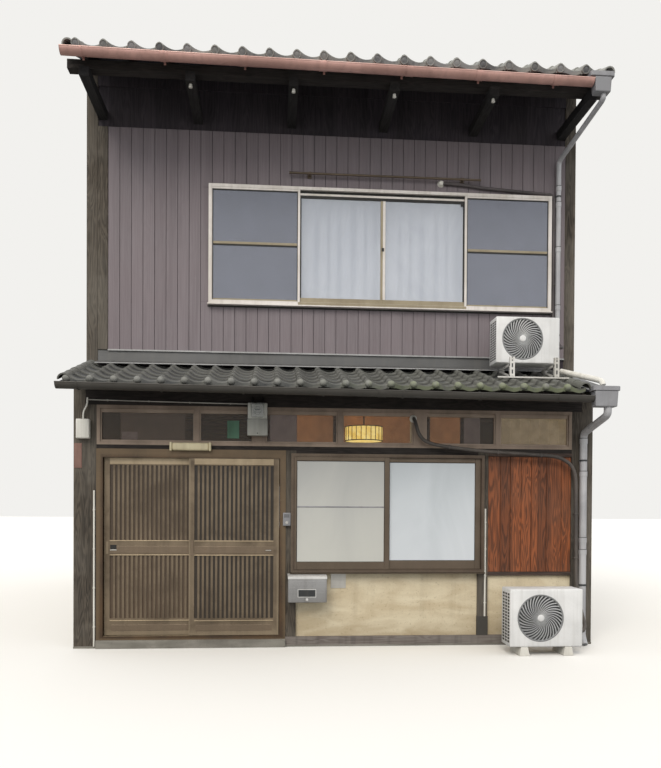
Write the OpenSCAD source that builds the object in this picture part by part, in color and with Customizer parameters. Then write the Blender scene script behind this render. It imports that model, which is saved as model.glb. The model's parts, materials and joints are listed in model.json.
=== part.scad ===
// A two-storey wooden townhouse from a row: X runs along the street front, Y into the house, Z up.
// The origin is on the ground, in the middle of the front line.

/* [Plan] */
// Half a ken, the module that sets the posts
bay = 985; // [900:5:1060]
// Side of a square post
post = 105; // [90:5:120]
// Thickness of a party wall
party_t = 115; // [90:5:150]
// Depth of the ground floor
plan_d = 7880; // [6400:20:8800]
// How far the upper front wall stands behind the lower one
setback = 500; // [420:10:600]
// Thickness of the framed walls above and at the back
wall_t = 90; // [75:5:110]
// Thickness of the board cladding
clad_t = 15; // [12:1:20]

/* [Levels] */
// Visible edge of the slab under the timbers
slab_edge = 20; // [15:5:40]
// Top of the ground floor and of the door step
floor_z = 80; // [60:5:95]
// Top of the ground sill timber
sill_top = 100; // [90:5:120]
// Underside of the lintel
head_z = 1975; // [1900:5:2050]
// Height of the lintel
lintel_h = 40; // [30:5:60]
// Height of the transom windows
transom_h = 390; // [340:10:420]
// Top of the upper floor
upper_z = 2860; // [2840:5:2900]
// Bare wall between the board cladding and the eave arms
clad_gap = 70; // [40:5:120]
// Underside of the wall plate
plate_z = 5800; // [5700:10:5830]

/* [Entrance doors] */
// Height of the threshold with its rails
threshold_h = 35; // [25:5:45]
// Width of a door jamb
jamb_w = 62; // [50:2:75]
// Height of the door head
door_head_h = 70; // [60:5:90]
// Depth of the door frame
door_frame_d = 110; // [100:5:130]
// Thickness of a sliding door
leaf_t = 30; // [26:2:34]
// Width of the meeting stiles
stile_w = 60; // [50:2:70]
// Running gap round a sliding door
run_gap = 6; // [6:1:10]
// Gap between the two tracks
track_gap = 10; // [8:1:14]
// Width of one lattice bar
bar_w = 22; // [18:1:26]
// Spacing of the lattice bars
bar_pitch = 44; // [38:1:60]

/* [Ground window] */
// Bottom of the window frame
window_z = 750; // [700:10:800]
// Gap from the window frame up to the lintel
window_gap = 32; // [20:1:45]
// Face width of an outer window frame
frame_w = 32; // [25:1:40]
// Depth of the window frames in front of the wall
frame_d = 50; // [46:1:60]
// Face width of a sash member
sash_w = 42; // [30:1:50]
// Lap of a window frame over the wall beside it
frame_lap = 25; // [20:1:30]
// Thickness of window glass
glass_t = 4; // [3:1:6]

/* [Upper window] */
// Bottom of the upper window frame
upper_window_z = 3555; // [3500:5:3600]
// Height of the upper window frame
upper_window_h = 1255; // [1200:5:1300]
// Distance from each outer post line to the upper window frame
upper_window_in = 115; // [100:5:150]

/* [Pent roof] */
// Rise of the pent roof for each unit of run
pent_slope = 0.31; // [0.28:0.01:0.32]
// How far the pent roof boards reach out from the front line
pent_out = 500; // [450:10:550]
// Underside of the pent rafters at their outer end
pent_eave_z = 2493; // [2480:1:2500]
// Size across of a pent rafter
pent_rafter = 45; // [36:1:50]
// Spacing of the pent roof pantiles
pent_tile = 213.5; // [200:0.5:230]

/* [Main roof] */
// Rise of the main roof for each unit of run
roof_slope = 0.45; // [0.4:0.01:0.5]
// How far the main roof boards reach out from the upper wall
eave_out = 860; // [820:10:880]
// Underside of the main rafters over the eave purlin
purlin_z = 5650; // [5640:5:5700]
// Distance of the eave purlin's middle from the upper wall
purlin_out = 700; // [660:10:720]
// Width of a main rafter
rafter_w = 45; // [40:1:60]
// Height of a main rafter, measured upright
rafter_h = 65; // [55:1:75]
// Spacing of the main roof pantiles
roof_tile = 255.4; // [240:0.1:270]
// Thickness of the roof boards, measured upright
board_t = 12; // [10:1:18]
// Radius of the half-round gutters' outside
gutter_r = 58; // [50:1:60]

/* [Fittings] */
// Width of the lower outdoor unit
unit_w = 710; // [660:10:760]
// Height of the lower outdoor unit
unit_h = 550; // [520:10:600]
// Depth of the lower outdoor unit
unit_d = 270; // [240:10:280]
// Radius of the lower outdoor unit's fan opening
fan_r = 218; // [200:1:222]
// Outer radius of the upper downpipe
upper_pipe_r = 26; // [22:1:28]
// Outer radius of the lower downpipe
lower_pipe_r = 37; // [32:1:40]
// Outer radius of the lagged hoses
hose_r = 18; // [15:1:19]

/* [Hidden] */

$fn = 48;

// Plan lines
inner_x = 2.5 * bay + post / 2;
half_w = inner_x + party_t;
post_lines = [-2.5 * bay, -0.5 * bay, 1.5 * bay, 2.5 * bay];
door_x = [post_lines[0] + post / 2, post_lines[1] - post / 2];
window_x = [post_lines[1], post_lines[2]];
cedar_x = [post_lines[2] + post / 2, post_lines[3] - post / 2];
front_bay_x = [door_x[0], cedar_x[1]];
upper_y = setback + clad_t;
ridge_y = (setback + plan_d) / 2;
rear_y = plan_d - wall_t;

// Levels
transom_z = head_z + lintel_h;
beam_z = transom_z + transom_h;
beam_d = 210;
beam_w = 120;
floor_t = 30;
first_beam_y = setback + 490;
window_h = head_z - window_z - window_gap;
girder_z = upper_z - 260;
purlin_h = 110;
purlin_low = purlin_z - purlin_h;
arm_h = 90;
clad_top = purlin_low - arm_h - clad_gap;
rail_h = 38;
end_t = 8;

// Heights of the two roofs above a line of the plan
function pent_under(y) = pent_eave_z + pent_slope * (y + pent_out);
function pent_top(y) = pent_under(y) + pent_rafter + board_t;
function roof_run(y) = min(y, 2 * ridge_y - y);
function roof_under(y) = purlin_z + roof_slope * (roof_run(y) - setback + purlin_out);
function roof_top(y) = roof_under(y) + rafter_h + board_t;

pent_angle = atan(pent_slope);
roof_angle = atan(roof_slope);
eave_y = setback - eave_out;

// A block between two places on each axis
module block(x, y, z) {
    translate([x[0], y[0], z[0]]) cube([x[1] - x[0], y[1] - y[0], z[1] - z[0]]);
}

// A rectangular ring that faces the street
module ring(x, y, z, rail) {
    difference() {
        block(x, y, z);
        block([x[0] + rail, x[1] - rail], [y[0] - 1, y[1] + 1], [z[0] + rail, z[1] - rail]);
    }
}

// A section drawn across the house, as [y, z] points, and run along it
module along(x, section) {
    translate([x[0], 0, 0]) rotate([90, 0, 90]) linear_extrude(x[1] - x[0]) polygon(section);
}

// An outline drawn as the street sees it, as [x, z] points, and given a depth
module facing(y, outline) {
    translate([0, y[1], 0]) rotate([90, 0, 0]) linear_extrude(y[1] - y[0]) polygon(outline);
}

// Puts its children on a slope that starts at y and z
module on_slope(y, z, angle) {
    translate([0, y, z]) rotate([angle, 0, 0]) children();
}

module mirror_rear() {
    translate([0, 2 * ridge_y, 0]) mirror([0, 1, 0]) children();
}

// Ground floor

// The slab and the sill stand a little in front of the posts
foot_out = 10;
step_out = 40;

module ground_slab() {
    color("silver") union() {
        block([-half_w, half_w], [-foot_out, plan_d], [0, slab_edge]);
        block([-inner_x, inner_x], [post, rear_y], [0, floor_z]);
        block(door_x, [-step_out, post], [0, floor_z]);
    }
}

module front_sill() {
    color("rosybrown") block([door_x[1], inner_x], [-foot_out, post], [slab_edge, sill_top]);
}

module front_posts() {
    color("saddlebrown") {
        block([-inner_x, door_x[0]], [0, post], [slab_edge, beam_z]);
        block([door_x[1], door_x[1] + post], [0, post], [sill_top, head_z]);
        block([cedar_x[0] - post, cedar_x[0]], [0, post], [sill_top, head_z]);
        block([cedar_x[1], inner_x], [0, post], [sill_top, beam_z]);
        for (x = [[-half_w, -inner_x], [inner_x, half_w]])
            block(x, [0, end_t], [slab_edge, pent_under(0) + pent_rafter]);
    }
}

// The lintel over the door and window, and the beam over the transoms that carries the pent rafters
module front_beams() {
    color("saddlebrown") {
        block(front_bay_x, [0, post], [head_z, transom_z]);
        along([-inner_x, inner_x], [
            [0, beam_z], [post, beam_z], [post, pent_under(post)], [0, pent_under(0)]
        ]);
    }
}

plaster_y = [30, 90];
cedar_board = 20;

module front_plaster() {
    color("burlywood") {
        block([door_x[1] + post, cedar_x[0] - post], plaster_y, [sill_top, window_z + frame_lap - rail_h]);
        block(cedar_x, plaster_y, [sill_top, head_z]);
    }
}

module cedar_panel() {
    bottom = window_z - rail_h;
    color("sienna") {
        block(cedar_x, [plaster_y[0] - cedar_board, plaster_y[0]], [window_z, head_z - rail_h]);
    }
    color("saddlebrown") {
        block(cedar_x, [0, plaster_y[0]], [bottom, window_z]);
        block(cedar_x, [0, plaster_y[0]], [head_z - rail_h, head_z]);
    }
}

// A party wall steps in above the pent roof and follows both roofs. Thin boards cover its two front ends.
module party_wall(x) {
    upper_end = setback + end_t;
    color("dimgray") along(x, [
        [end_t, slab_edge], [plan_d, slab_edge], [plan_d, roof_under(plan_d) + rafter_h],
        [ridge_y, roof_under(ridge_y) + rafter_h], [upper_end, roof_under(upper_end) + rafter_h],
        [upper_end, pent_under(setback) + pent_rafter], [setback, pent_under(setback) + pent_rafter],
        [end_t, pent_under(end_t) + pent_rafter]
    ]);
}

// Entrance: a frame with two sliding lattice doors on two tracks

clear_x = [door_x[0] + jamb_w, door_x[1] - jamb_w];
leaf_z = [floor_z + threshold_h + run_gap, head_z - door_head_h - run_gap];
leaf_w = (clear_x[1] - clear_x[0] - 2 * run_gap + stile_w) / 2;
front_track = 0;
rear_track = front_track + leaf_t + track_gap;
leaf_stile = 54;
leaf_top = 84;
leaf_bottom = 168;
leaf_middle = 152;
middle_z = 916;
lattice_d = 10;

module door_frame() {
    y = [-10, door_frame_d - 10];
    lip = 12;
    lips_z = [head_z - door_head_h - 16, head_z - door_head_h];
    color("dimgray") union() {
        block([door_x[0], clear_x[0]], y, [floor_z, head_z]);
        block([clear_x[1], door_x[1]], y, [floor_z, head_z]);
        block(clear_x, y, [head_z - door_head_h, head_z]);
        block(clear_x, y, [floor_z, floor_z + threshold_h]);
        block(clear_x, [y[0], front_track - run_gap], lips_z);
        block(clear_x, [rear_track + leaf_t + run_gap, y[1]], lips_z);
    }
}

// One door, drawn with its left edge at x = 0 and its front face at y = 0
module leaf_frame() {
    h = leaf_z[1] - leaf_z[0];
    middle = middle_z - leaf_z[0];
    difference() {
        block([0, leaf_w], [0, leaf_t], [0, h]);
        block([leaf_stile, leaf_w - leaf_stile], [-1, leaf_t + 1], [leaf_bottom, middle]);
        block([leaf_stile, leaf_w - leaf_stile], [-1, leaf_t + 1], [middle + leaf_middle, h - leaf_top]);
    }
}

module leaf_bars() {
    h = leaf_z[1] - leaf_z[0];
    middle = middle_z - leaf_z[0];
    span = leaf_w - 2 * leaf_stile;
    n = floor((span - bar_w) / bar_pitch);
    first = leaf_w / 2 - (n - 1) * bar_pitch / 2;
    for (i = [0 : n - 1], z = [[leaf_bottom, middle], [middle + leaf_middle, h - leaf_top]])
        block([first + i * bar_pitch - bar_w / 2, first + i * bar_pitch + bar_w / 2], [2, 2 + lattice_d], z);
}

module leaf_glass() {
    h = leaf_z[1] - leaf_z[0];
    middle = middle_z - leaf_z[0];
    for (z = [[leaf_bottom, middle], [middle + leaf_middle, h - leaf_top]])
        block([leaf_stile, leaf_w - leaf_stile], [2 + lattice_d, 2 + lattice_d + glass_t], z);
}

module at_left_leaf() {
    translate([clear_x[0] + run_gap, rear_track, leaf_z[0]]) children();
}

module at_right_leaf() {
    translate([clear_x[1] - run_gap - leaf_w, front_track, leaf_z[0]]) children();
}

// The left door has a finger pull cut in its outer stile
module door_left() {
    pull_z = middle_z + leaf_middle / 2 - leaf_z[0];
    color("dimgray") at_left_leaf() union() {
        difference() {
            leaf_frame();
            block([16, 38], [-1, 12], [pull_z - 60, pull_z + 60]);
        }
        leaf_bars();
    }
}

module door_left_glass() {
    color("lightgray") at_left_leaf() leaf_glass();
}

module door_right() {
    color("dimgray") at_right_leaf() union() {
        leaf_frame();
        leaf_bars();
    }
}

module door_right_glass() {
    color("lightgray") at_right_leaf() leaf_glass();
}

// A pull handle on the outer stile and a latch plate on the meeting stile
module door_right_handle() {
    z = middle_z + leaf_middle / 2 - leaf_z[0];
    color("gainsboro") at_right_leaf() {
        block([leaf_w - 130, leaf_w - 30], [-5, 0], [z - 15, z + 15]);
        block([18, 42], [-5, 0], [z - 75, z + 75]);
    }
}

// Windows

window_open_x = [door_x[1] + post, cedar_x[0] - post];
window_open_z = [window_z + frame_lap, window_z + window_h - frame_lap];

module window_lining() {
    color("saddlebrown") {
        block(window_open_x, [0, post], [window_open_z[0] - rail_h, window_open_z[0]]);
        block(window_open_x, [0, post], [window_open_z[1], head_z]);
    }
}

module window_frame() {
    color("darkgray") {
        ring(window_x, [-frame_d, 0], [window_z, window_z + window_h], frame_w);
        block([window_x[0] - 10, window_x[1] + 10], [-frame_d - 12, 0], [window_z - 12, window_z]);
    }
}

// Sashes run in two tracks inside a frame, the outer one first
sash_t = 20;
function sash_y(front, track) = [front + 3 + track * (sash_t + 3), front + 3 + track * (sash_t + 3) + sash_t];

module sash(x, y, z, mid_rail) {
    ring(x, y, z, sash_w);
    if (mid_rail > 0)
        block([x[0] + sash_w, x[1] - sash_w], y, [mid_rail - sash_w / 4, mid_rail + sash_w / 4]);
}

module sash_glass(x, y, z, mid_rail) {
    mid = (y[0] + y[1]) / 2;
    low = z[0] + sash_w;
    high = z[1] - sash_w;
    lights = mid_rail > 0 ? [[low, mid_rail - sash_w / 4], [mid_rail + sash_w / 4, high]] : [[low, high]];
    for (light = lights)
        block([x[0] + sash_w, x[1] - sash_w], [mid - glass_t / 2, mid + glass_t / 2], light);
}

// Places of the sashes: [left, right, track, has a middle rail]
function sash_x(x, n, i, lap) = [
    x[0] + (x[1] - x[0]) * i / n - (i == 0 ? 0 : lap), x[0] + (x[1] - x[0]) * (i + 1) / n + (i == n - 1 ? 0 : lap)
];
ground_inner_x = [window_x[0] + frame_w, window_x[1] - frame_w];
ground_inner_z = [window_z + frame_w, window_z + window_h - frame_w];
meet = sash_w / 2;

ground_mid_rail = [window_z + window_h * 0.53, 0];

module window_sashes() {
    color("darkgray") for (i = [0, 1])
        sash(sash_x(ground_inner_x, 2, i, meet), sash_y(-frame_d, i), ground_inner_z, ground_mid_rail[i]);
}

// Transoms: three equal lights between short posts
transom_post = 60;
transom_fit = 1;
transom_w = (front_bay_x[1] - front_bay_x[0] - 2 * transom_post - 2 * transom_fit) / 3;
transom_rail = 34;
function transom_x(i) = [
    front_bay_x[0] + transom_fit + i * (transom_w + transom_post),
    front_bay_x[0] + transom_fit + i * (transom_w + transom_post) + transom_w
];

// The divider of each transom: the first one stands right of the middle
divider_w = 50;
divider_off = [195, 0, 0];
function divider_x(i) = let (mid = (transom_x(i)[0] + transom_x(i)[1]) / 2 + divider_off[i])
    [mid - divider_w / 2, mid + divider_w / 2];

transom_d = 70;

module transom_frames() {
    color("dimgray") for (i = [0 : 2]) {
        union() {
            ring(transom_x(i), [0, transom_d], [transom_z, beam_z], transom_rail);
            block(divider_x(i), [0, transom_d], [transom_z + transom_rail, beam_z - transom_rail]);
        }
    }
    color("saddlebrown") for (i = [0, 1]) {
        x = transom_x(i)[1];
        block([x, x + transom_post], [0, post], [transom_z, beam_z]);
    }
}

transom_glass_y = 30;

module front_glass() {
    color("aliceblue") for (i = [0, 1])
        sash_glass(sash_x(ground_inner_x, 2, i, meet), sash_y(-frame_d, i), ground_inner_z, ground_mid_rail[i]);
    color("peru") for (i = [0 : 2]) {
        z = [transom_z + transom_rail, beam_z - transom_rail];
        block([transom_x(i)[0] + transom_rail, divider_x(i)[0]], [transom_glass_y, transom_glass_y + glass_t], z);
        block([divider_x(i)[1], transom_x(i)[1] - transom_rail], [transom_glass_y, transom_glass_y + glass_t], z);
    }
}

// Upper floor

// A girder under the upper front wall, and the beams under the upper floor
module floor_beams() {
    n = 7;
    step = (rear_y - first_beam_y - beam_w) / n;
    color("saddlebrown") block([-inner_x, inner_x], [setback, upper_y + wall_t], [girder_z, upper_z]);
    color("peru") for (i = [0 : n - 1])
        block([-inner_x, inner_x], [first_beam_y + i * step, first_beam_y + i * step + beam_w],
              [upper_z - floor_t - beam_d, upper_z - floor_t]);
}

module upper_floor() {
    color("peru") block([-inner_x, inner_x], [upper_y + wall_t, rear_y], [upper_z - floor_t, upper_z]);
}

upper_window_x = [-1.5 * bay + upper_window_in, 2.5 * bay - upper_window_in];
upper_window_top = upper_window_z + upper_window_h;

// The hole that an upper window frame laps over
module upper_hole(y) {
    block([upper_window_x[0] + frame_lap, upper_window_x[1] - frame_lap], y,
          [upper_window_z + frame_lap, upper_window_top - frame_lap]);
}

module upper_wall() {
    color("saddlebrown") union() {
        difference() {
            block([-inner_x, inner_x], [upper_y, upper_y + wall_t], [upper_z, plate_z]);
            upper_hole([upper_y - 1, upper_y + wall_t + 1]);
        }
        along([-inner_x, inner_x], [
            [setback, plate_z], [upper_y + wall_t, plate_z],
            [upper_y + wall_t, roof_under(upper_y + wall_t)], [setback, roof_under(setback)]
        ]);
    }
}

clad_z = 3050;

module upper_cladding() {
    color("dimgray") difference() {
        block([-2.5 * bay + post / 2, inner_x], [setback, upper_y], [clad_z, clad_top]);
        upper_hole([setback - 1, upper_y + 1]);
    }
    color("saddlebrown") {
        block([-inner_x, -2.5 * bay + post / 2], [setback, upper_y], [clad_z, clad_top]);
        for (x = [[-half_w, -inner_x], [inner_x, half_w]])
            block(x, [setback, setback + end_t], [pent_under(setback) + pent_rafter, roof_under(setback) + rafter_h]);
    }
}

upper_inner_x = [upper_window_x[0] + frame_w, upper_window_x[1] - frame_w];
upper_inner_z = [upper_window_z + frame_w, upper_window_top - frame_w];
upper_track = [0, 1, 1, 0];

module upper_window_frame() {
    color("tan") {
        ring(upper_window_x, [setback - frame_d, setback], [upper_window_z, upper_window_top], frame_w);
        block([upper_window_x[0] - 10, upper_window_x[1] + 10], [setback - frame_d - 12, setback],
              [upper_window_z - 12, upper_window_z]);
    }
}

function upper_sash_x(i) = sash_x(upper_inner_x, 4, i, upper_track[i] == 0 ? meet : 0);
function upper_mid_rail(i) = upper_track[i] == 0 ? upper_window_z + upper_window_h / 2 : 0;

module upper_window_sashes() {
    color("tan") for (i = [0 : 3])
        sash(upper_sash_x(i), sash_y(setback - frame_d, upper_track[i]), upper_inner_z, upper_mid_rail(i));
}

module upper_window_glass() {
    color("lightsteelblue") for (i = [0 : 3])
        sash_glass(upper_sash_x(i), sash_y(setback - frame_d, upper_track[i]), upper_inner_z, upper_mid_rail(i));
}

// Curtains in soft folds on a rail, behind the whole window
curtain_t = 12;
fold = 90;
fold_depth = 22;
curtain_in = 60;
curtain_x = [upper_inner_x[0] + curtain_in, upper_inner_x[1] - curtain_in];
curtain_y = upper_y + wall_t + 45;
curtain_z = [upper_window_z - 30, upper_window_top - 10];

module upper_curtains() {
    n = round((curtain_x[1] - curtain_x[0]) / fold * 6);
    step = (curtain_x[1] - curtain_x[0]) / n;
    wave = [for (i = [0 : n]) [curtain_x[0] + i * step, curtain_y + fold_depth / 2 * sin(i * 60)]];
    back = [for (i = [n : -1 : 0]) [wave[i][0], wave[i][1] + curtain_t]];
    color("lavender") translate([0, 0, curtain_z[0]]) linear_extrude(curtain_z[1] - curtain_z[0])
        polygon(concat(wave, back));
    color("white") block([curtain_x[0] - curtain_in / 2, curtain_x[1] + curtain_in / 2],
                         [upper_y + wall_t, curtain_y + curtain_t], [curtain_z[1], curtain_z[1] + 25]);
}

// Rear walls: one window a storey, in the middle
rear_window_w = 1600;
rear_lower_z = [900, 1900];
rear_upper_z = [3600, 4700];

module rear_hole(z, y) {
    block([-rear_window_w / 2 + frame_lap, rear_window_w / 2 - frame_lap], y, [z[0] + frame_lap, z[1] - frame_lap]);
}

module rear_wall_lower() {
    color("burlywood") difference() {
        block([-inner_x, inner_x], [rear_y, plan_d], [slab_edge, upper_z]);
        rear_hole(rear_lower_z, [rear_y - 1, plan_d + 1]);
    }
}

module rear_wall_upper() {
    color("dimgray") difference() {
        along([-inner_x, inner_x], [
            [rear_y, upper_z], [plan_d, upper_z], [plan_d, roof_under(plan_d)], [rear_y, roof_under(rear_y)]
        ]);
        rear_hole(rear_upper_z, [rear_y - 1, plan_d + 1]);
    }
}

module rear_window_frames() {
    color("tan") for (z = [rear_lower_z, rear_upper_z]) {
        union() {
            ring([-rear_window_w / 2, rear_window_w / 2], [plan_d, plan_d + frame_d], z, frame_w + sash_w);
            block([-sash_w / 2, sash_w / 2], [plan_d, plan_d + frame_d],
                  [z[0] + frame_w + sash_w, z[1] - frame_w - sash_w]);
        }
    }
}

module rear_window_glass() {
    rail = frame_w + sash_w;
    pane = [sash_w / 2, rear_window_w / 2 - rail];
    glass_y = plan_d + frame_d / 2;
    color("lightsteelblue") for (z = [rear_lower_z, rear_upper_z], x = [pane, [-pane[1], -pane[0]]])
        block(x, [glass_y, glass_y + glass_t], [z[0] + rail, z[1] - rail]);
}

// Roofs

rafter_pitch = 374;
rafter_in = 65;
rafter_x = [for (x = [-inner_x + rafter_in : rafter_pitch : inner_x - rafter_in / 2]) x];
ridge_gap = 1;
hopper_x = half_w - 265;
pent_tile_x = hopper_x - 4;

// A layer of both main slopes, between two heights above the rafters' undersides
module main_layer(x, low, high) {
    top_y = ridge_y - ridge_gap;
    section = [
        [eave_y, roof_under(eave_y) + low], [top_y, roof_under(top_y) + low],
        [top_y, roof_under(top_y) + high], [eave_y, roof_under(eave_y) + high]
    ];
    along(x, section);
    mirror_rear() along(x, section);
}

// A layer of the pent slope, between two heights above its rafters' undersides
module pent_layer(x, low, high) {
    along(x, [
        [-pent_out, pent_under(-pent_out) + low], [setback, pent_under(setback) + low],
        [setback, pent_under(setback) + high], [-pent_out, pent_under(-pent_out) + high]
    ]);
}

// The rafters of both roofs
module rafters() {
    color("saddlebrown") for (x = rafter_x) {
        main_layer([x - rafter_w / 2, x + rafter_w / 2], 0, rafter_h);
        pent_layer([x - pent_rafter / 2, x + pent_rafter / 2], 0, pent_rafter);
    }
}

module roof_boards() {
    color("saddlebrown") {
        main_layer([-half_w, half_w], rafter_h, rafter_h + board_t);
        pent_layer([-half_w, half_w], pent_rafter, pent_rafter + board_t);
    }
}

// Height of a pantile's upper face across one pitch, as a share of the way over it: a wide trough, then a narrow roll
tile_t = 20;
trough_share = 0.68;
function tile_top(u, roll) = u < trough_share
    ? tile_t + 0.25 * roll * pow(2 * u / trough_share - 1, 2)
    : tile_t + 0.25 * roll + 0.75 * roll * sin(180 * (u - trough_share) / (1 - trough_share));

// A field of pantiles as one waved sheet that lies on the boards. roll_x is the middle of one roll.
module tile_field(x, length, pitch, roll, roll_x) {
    steps = 10;
    phase = roll_x - (1 + trough_share) / 2 * pitch;
    first = ceil((x[0] - phase) / pitch * steps + 0.01);
    last = floor((x[1] - phase) / pitch * steps - 0.01);
    function at(px) = let (u = (px - phase) / pitch) [px, tile_top(u - floor(u), roll)];
    crest = [for (i = [first : last]) at(phase + i * pitch / steps)];
    section = concat([[x[0], 0]], [at(x[0])], crest, [at(x[1])], [[x[1], 0]]);
    rotate([90, 0, 0]) mirror([0, 0, 1]) linear_extrude(length) polygon(section);
}

tile_over = 40;
pent_roll = 46;
pent_roll_x = -2129;
roll_rise = (tile_t + pent_roll) / cos(pent_angle);
pent_tile_end = setback - 8;

module pent_tiles() {
    length = (pent_tile_end + pent_out) / cos(pent_angle) + tile_over;
    color("slategray") on_slope(-pent_out, pent_top(-pent_out), pent_angle)
        translate([0, -tile_over, 0]) tile_field([-half_w, pent_tile_x], length, pent_tile, pent_roll, pent_roll_x);
}

sheet_t = 5;
flash_out = 140;

// The flashing lies on the tile rolls and turns up under the cladding. A second sheet covers the boards past the tiles.
module pent_flashing() {
    function lies(y) = pent_top(y) + roll_rise;
    y0 = setback - flash_out;
    color("gray") {
        along([-inner_x, pent_tile_x], [
            [y0, lies(y0)], [upper_y, lies(upper_y)], [upper_y, clad_z], [upper_y - sheet_t, clad_z],
            [upper_y - sheet_t, lies(upper_y - sheet_t) + sheet_t], [y0, lies(y0) + sheet_t]
        ]);
        pent_layer([pent_tile_x + 2, half_w], pent_rafter + board_t, pent_rafter + board_t + sheet_t);
    }
}

// A half-round gutter with stopped ends, its rim at z and its middle at y
module gutter(x, y, z) {
    wall = 4;
    translate([x[0], y, z]) rotate([90, 0, 90]) difference() {
        cylinder(h = x[1] - x[0], r = gutter_r);
        translate([0, 0, wall]) cylinder(h = x[1] - x[0] - 2 * wall, r = gutter_r - wall);
        translate([-gutter_r - 1, 0, -1]) cube([2 * gutter_r + 2, gutter_r + 1, x[1] - x[0] + 2]);
    }
}

strap_t = 4;
strap_w = 20;

// A strap that carries a gutter from a rafter end
module gutter_strap(x, y_wall, y, z) {
    difference() {
        block([x - strap_w / 2, x + strap_w / 2], [y, y_wall], [z - gutter_r - strap_t, z]);
        translate([x - strap_w, y, z]) rotate([90, 0, 90]) cylinder(h = 2 * strap_w, r = gutter_r);
    }
}

gutter_drop = 36;
pent_gutter_y = -pent_out - gutter_r - 4;
pent_gutter_z = pent_eave_z + gutter_drop;
main_gutter_y = eave_y - gutter_r - 12;
main_gutter_z = roof_under(eave_y) + gutter_drop;
gutter_over = 12;
strap_x = [for (i = [0 : 2 : len(rafter_x) - 1]) rafter_x[i]];

module gutters() {
    color("dimgray") union() {
        gutter([-half_w - gutter_over, hopper_x], pent_gutter_y, pent_gutter_z);
        for (x = strap_x) gutter_strap(x, -pent_out, pent_gutter_y, pent_gutter_z);
    }
    color("indianred") union() {
        gutter([-half_w - gutter_over, hopper_x], main_gutter_y, main_gutter_z);
        for (x = strap_x) gutter_strap(x, eave_y, main_gutter_y, main_gutter_z);
    }
}

arm_w = 90;
arm_past = 100;
arm_x = [for (i = [-2 : 3]) (i - 0.5) * bay];
purlin_y = setback - purlin_out;

module eave_arm(x, y_wall) {
    block([x - arm_w / 2, x + arm_w / 2], [purlin_y - arm_past, y_wall], [purlin_low - arm_h, purlin_low]);
}

module eave_arms() {
    color("saddlebrown") for (x = arm_x) {
        eave_arm(x, upper_y);
        mirror_rear() eave_arm(x, setback);
    }
}

module eave_purlin() {
    y = [purlin_y - post / 2, purlin_y + post / 2];
    along([-half_w, half_w], [
        [y[0], purlin_low], [y[1], purlin_low], [y[1], roof_under(y[1])], [y[0], roof_under(y[0])]
    ]);
}

module mid_purlin(y) {
    low = roof_under(y) - mid_purlin_h;
    along([-inner_x, inner_x], [
        [y, low], [y + beam_w, low], [y + beam_w, roof_under(y + beam_w)], [y, roof_under(y)]
    ]);
}

mid_purlin_h = 180;
ridge_beam_h = 240;

// Purlins over the eave arms, half-way up each slope and under the ridge
module purlins() {
    quarter = (ridge_y + setback) / 2;
    color("saddlebrown") {
        eave_purlin();
        mirror_rear() eave_purlin();
    }
    color("peru") {
        mid_purlin(quarter);
        mirror_rear() mid_purlin(quarter);
        along([-inner_x, inner_x], [
            [ridge_y - beam_w / 2, roof_under(ridge_y) - ridge_beam_h],
            [ridge_y + beam_w / 2, roof_under(ridge_y) - ridge_beam_h],
            [ridge_y + beam_w / 2, roof_under(ridge_y + beam_w / 2)], [ridge_y, roof_under(ridge_y)],
            [ridge_y - beam_w / 2, roof_under(ridge_y - beam_w / 2)]
        ]);
    }
}

roof_roll = 60;
roof_roll_x = -1742;
ridge_half = 120;
ridge_course = 60;
ridge_cap_r = 75;

module roof_slope_tiles() {
    length = (ridge_y - ridge_half / 2 - eave_y) / cos(roof_angle) + tile_over;
    on_slope(eave_y, roof_top(eave_y), roof_angle)
        translate([0, -tile_over, 0]) tile_field([-half_w, half_w], length, roof_tile, roof_roll, roof_roll_x);
}

module roof_tiles() {
    color("slategray") {
        roof_slope_tiles();
        mirror_rear() roof_slope_tiles();
    }
}

// The ridge: a bed that lies on the tile rolls, a flat course on it and a round cap
module roof_ridge() {
    function lies(y) = roof_top(y) + (tile_t + roof_roll) / cos(roof_angle) + ridge_gap;
    inner = ridge_half / 2;
    base = lies(ridge_y - inner);
    color("slategray") union() {
        along([-half_w, half_w], [
            [ridge_y - ridge_half, lies(ridge_y - ridge_half)], [ridge_y - inner, base], [ridge_y + inner, base],
            [ridge_y + ridge_half, lies(ridge_y + ridge_half)], [ridge_y + ridge_half, base + ridge_course],
            [ridge_y - ridge_half, base + ridge_course]
        ]);
        block([-half_w, half_w], [ridge_y - ridge_half + 20, ridge_y + ridge_half - 20],
              [base + ridge_course, base + 2 * ridge_course]);
        translate([-half_w, ridge_y, base + 2 * ridge_course]) rotate([90, 0, 90]) intersection() {
            cylinder(h = 2 * half_w, r = ridge_cap_r);
            translate([-ridge_cap_r, 0, 0]) cube([2 * ridge_cap_r, ridge_cap_r, 2 * half_w]);
        }
    }
}

// Downpipes: a box at the gutter's end, then pipe runs joined by ball elbows
module pipe_run(points, r) {
    for (i = [0 : len(points) - 2]) {
        d = points[i + 1] - points[i];
        l = norm(d);
        translate(points[i]) rotate([0, acos(d[2] / l), atan2(d[1], d[0])]) cylinder(h = l, r = r);
        if (i > 0) translate(points[i]) sphere(r = r + elbow_wall);
    }
}

// A rain box with a flat rim and a body that narrows to the pipe at x
module hopper(w, x, y, z) {
    half = gutter_r + 4;
    rim_z = z[1] - 28;
    block([hopper_x, hopper_x + w], [y - half, y + half], [rim_z, z[1]]);
    facing([y - half, y + half], [
        [x - 62, z[0]], [x + 62, z[0]], [hopper_x + w - 18, rim_z], [hopper_x + 18, rim_z]
    ]);
}

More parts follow.
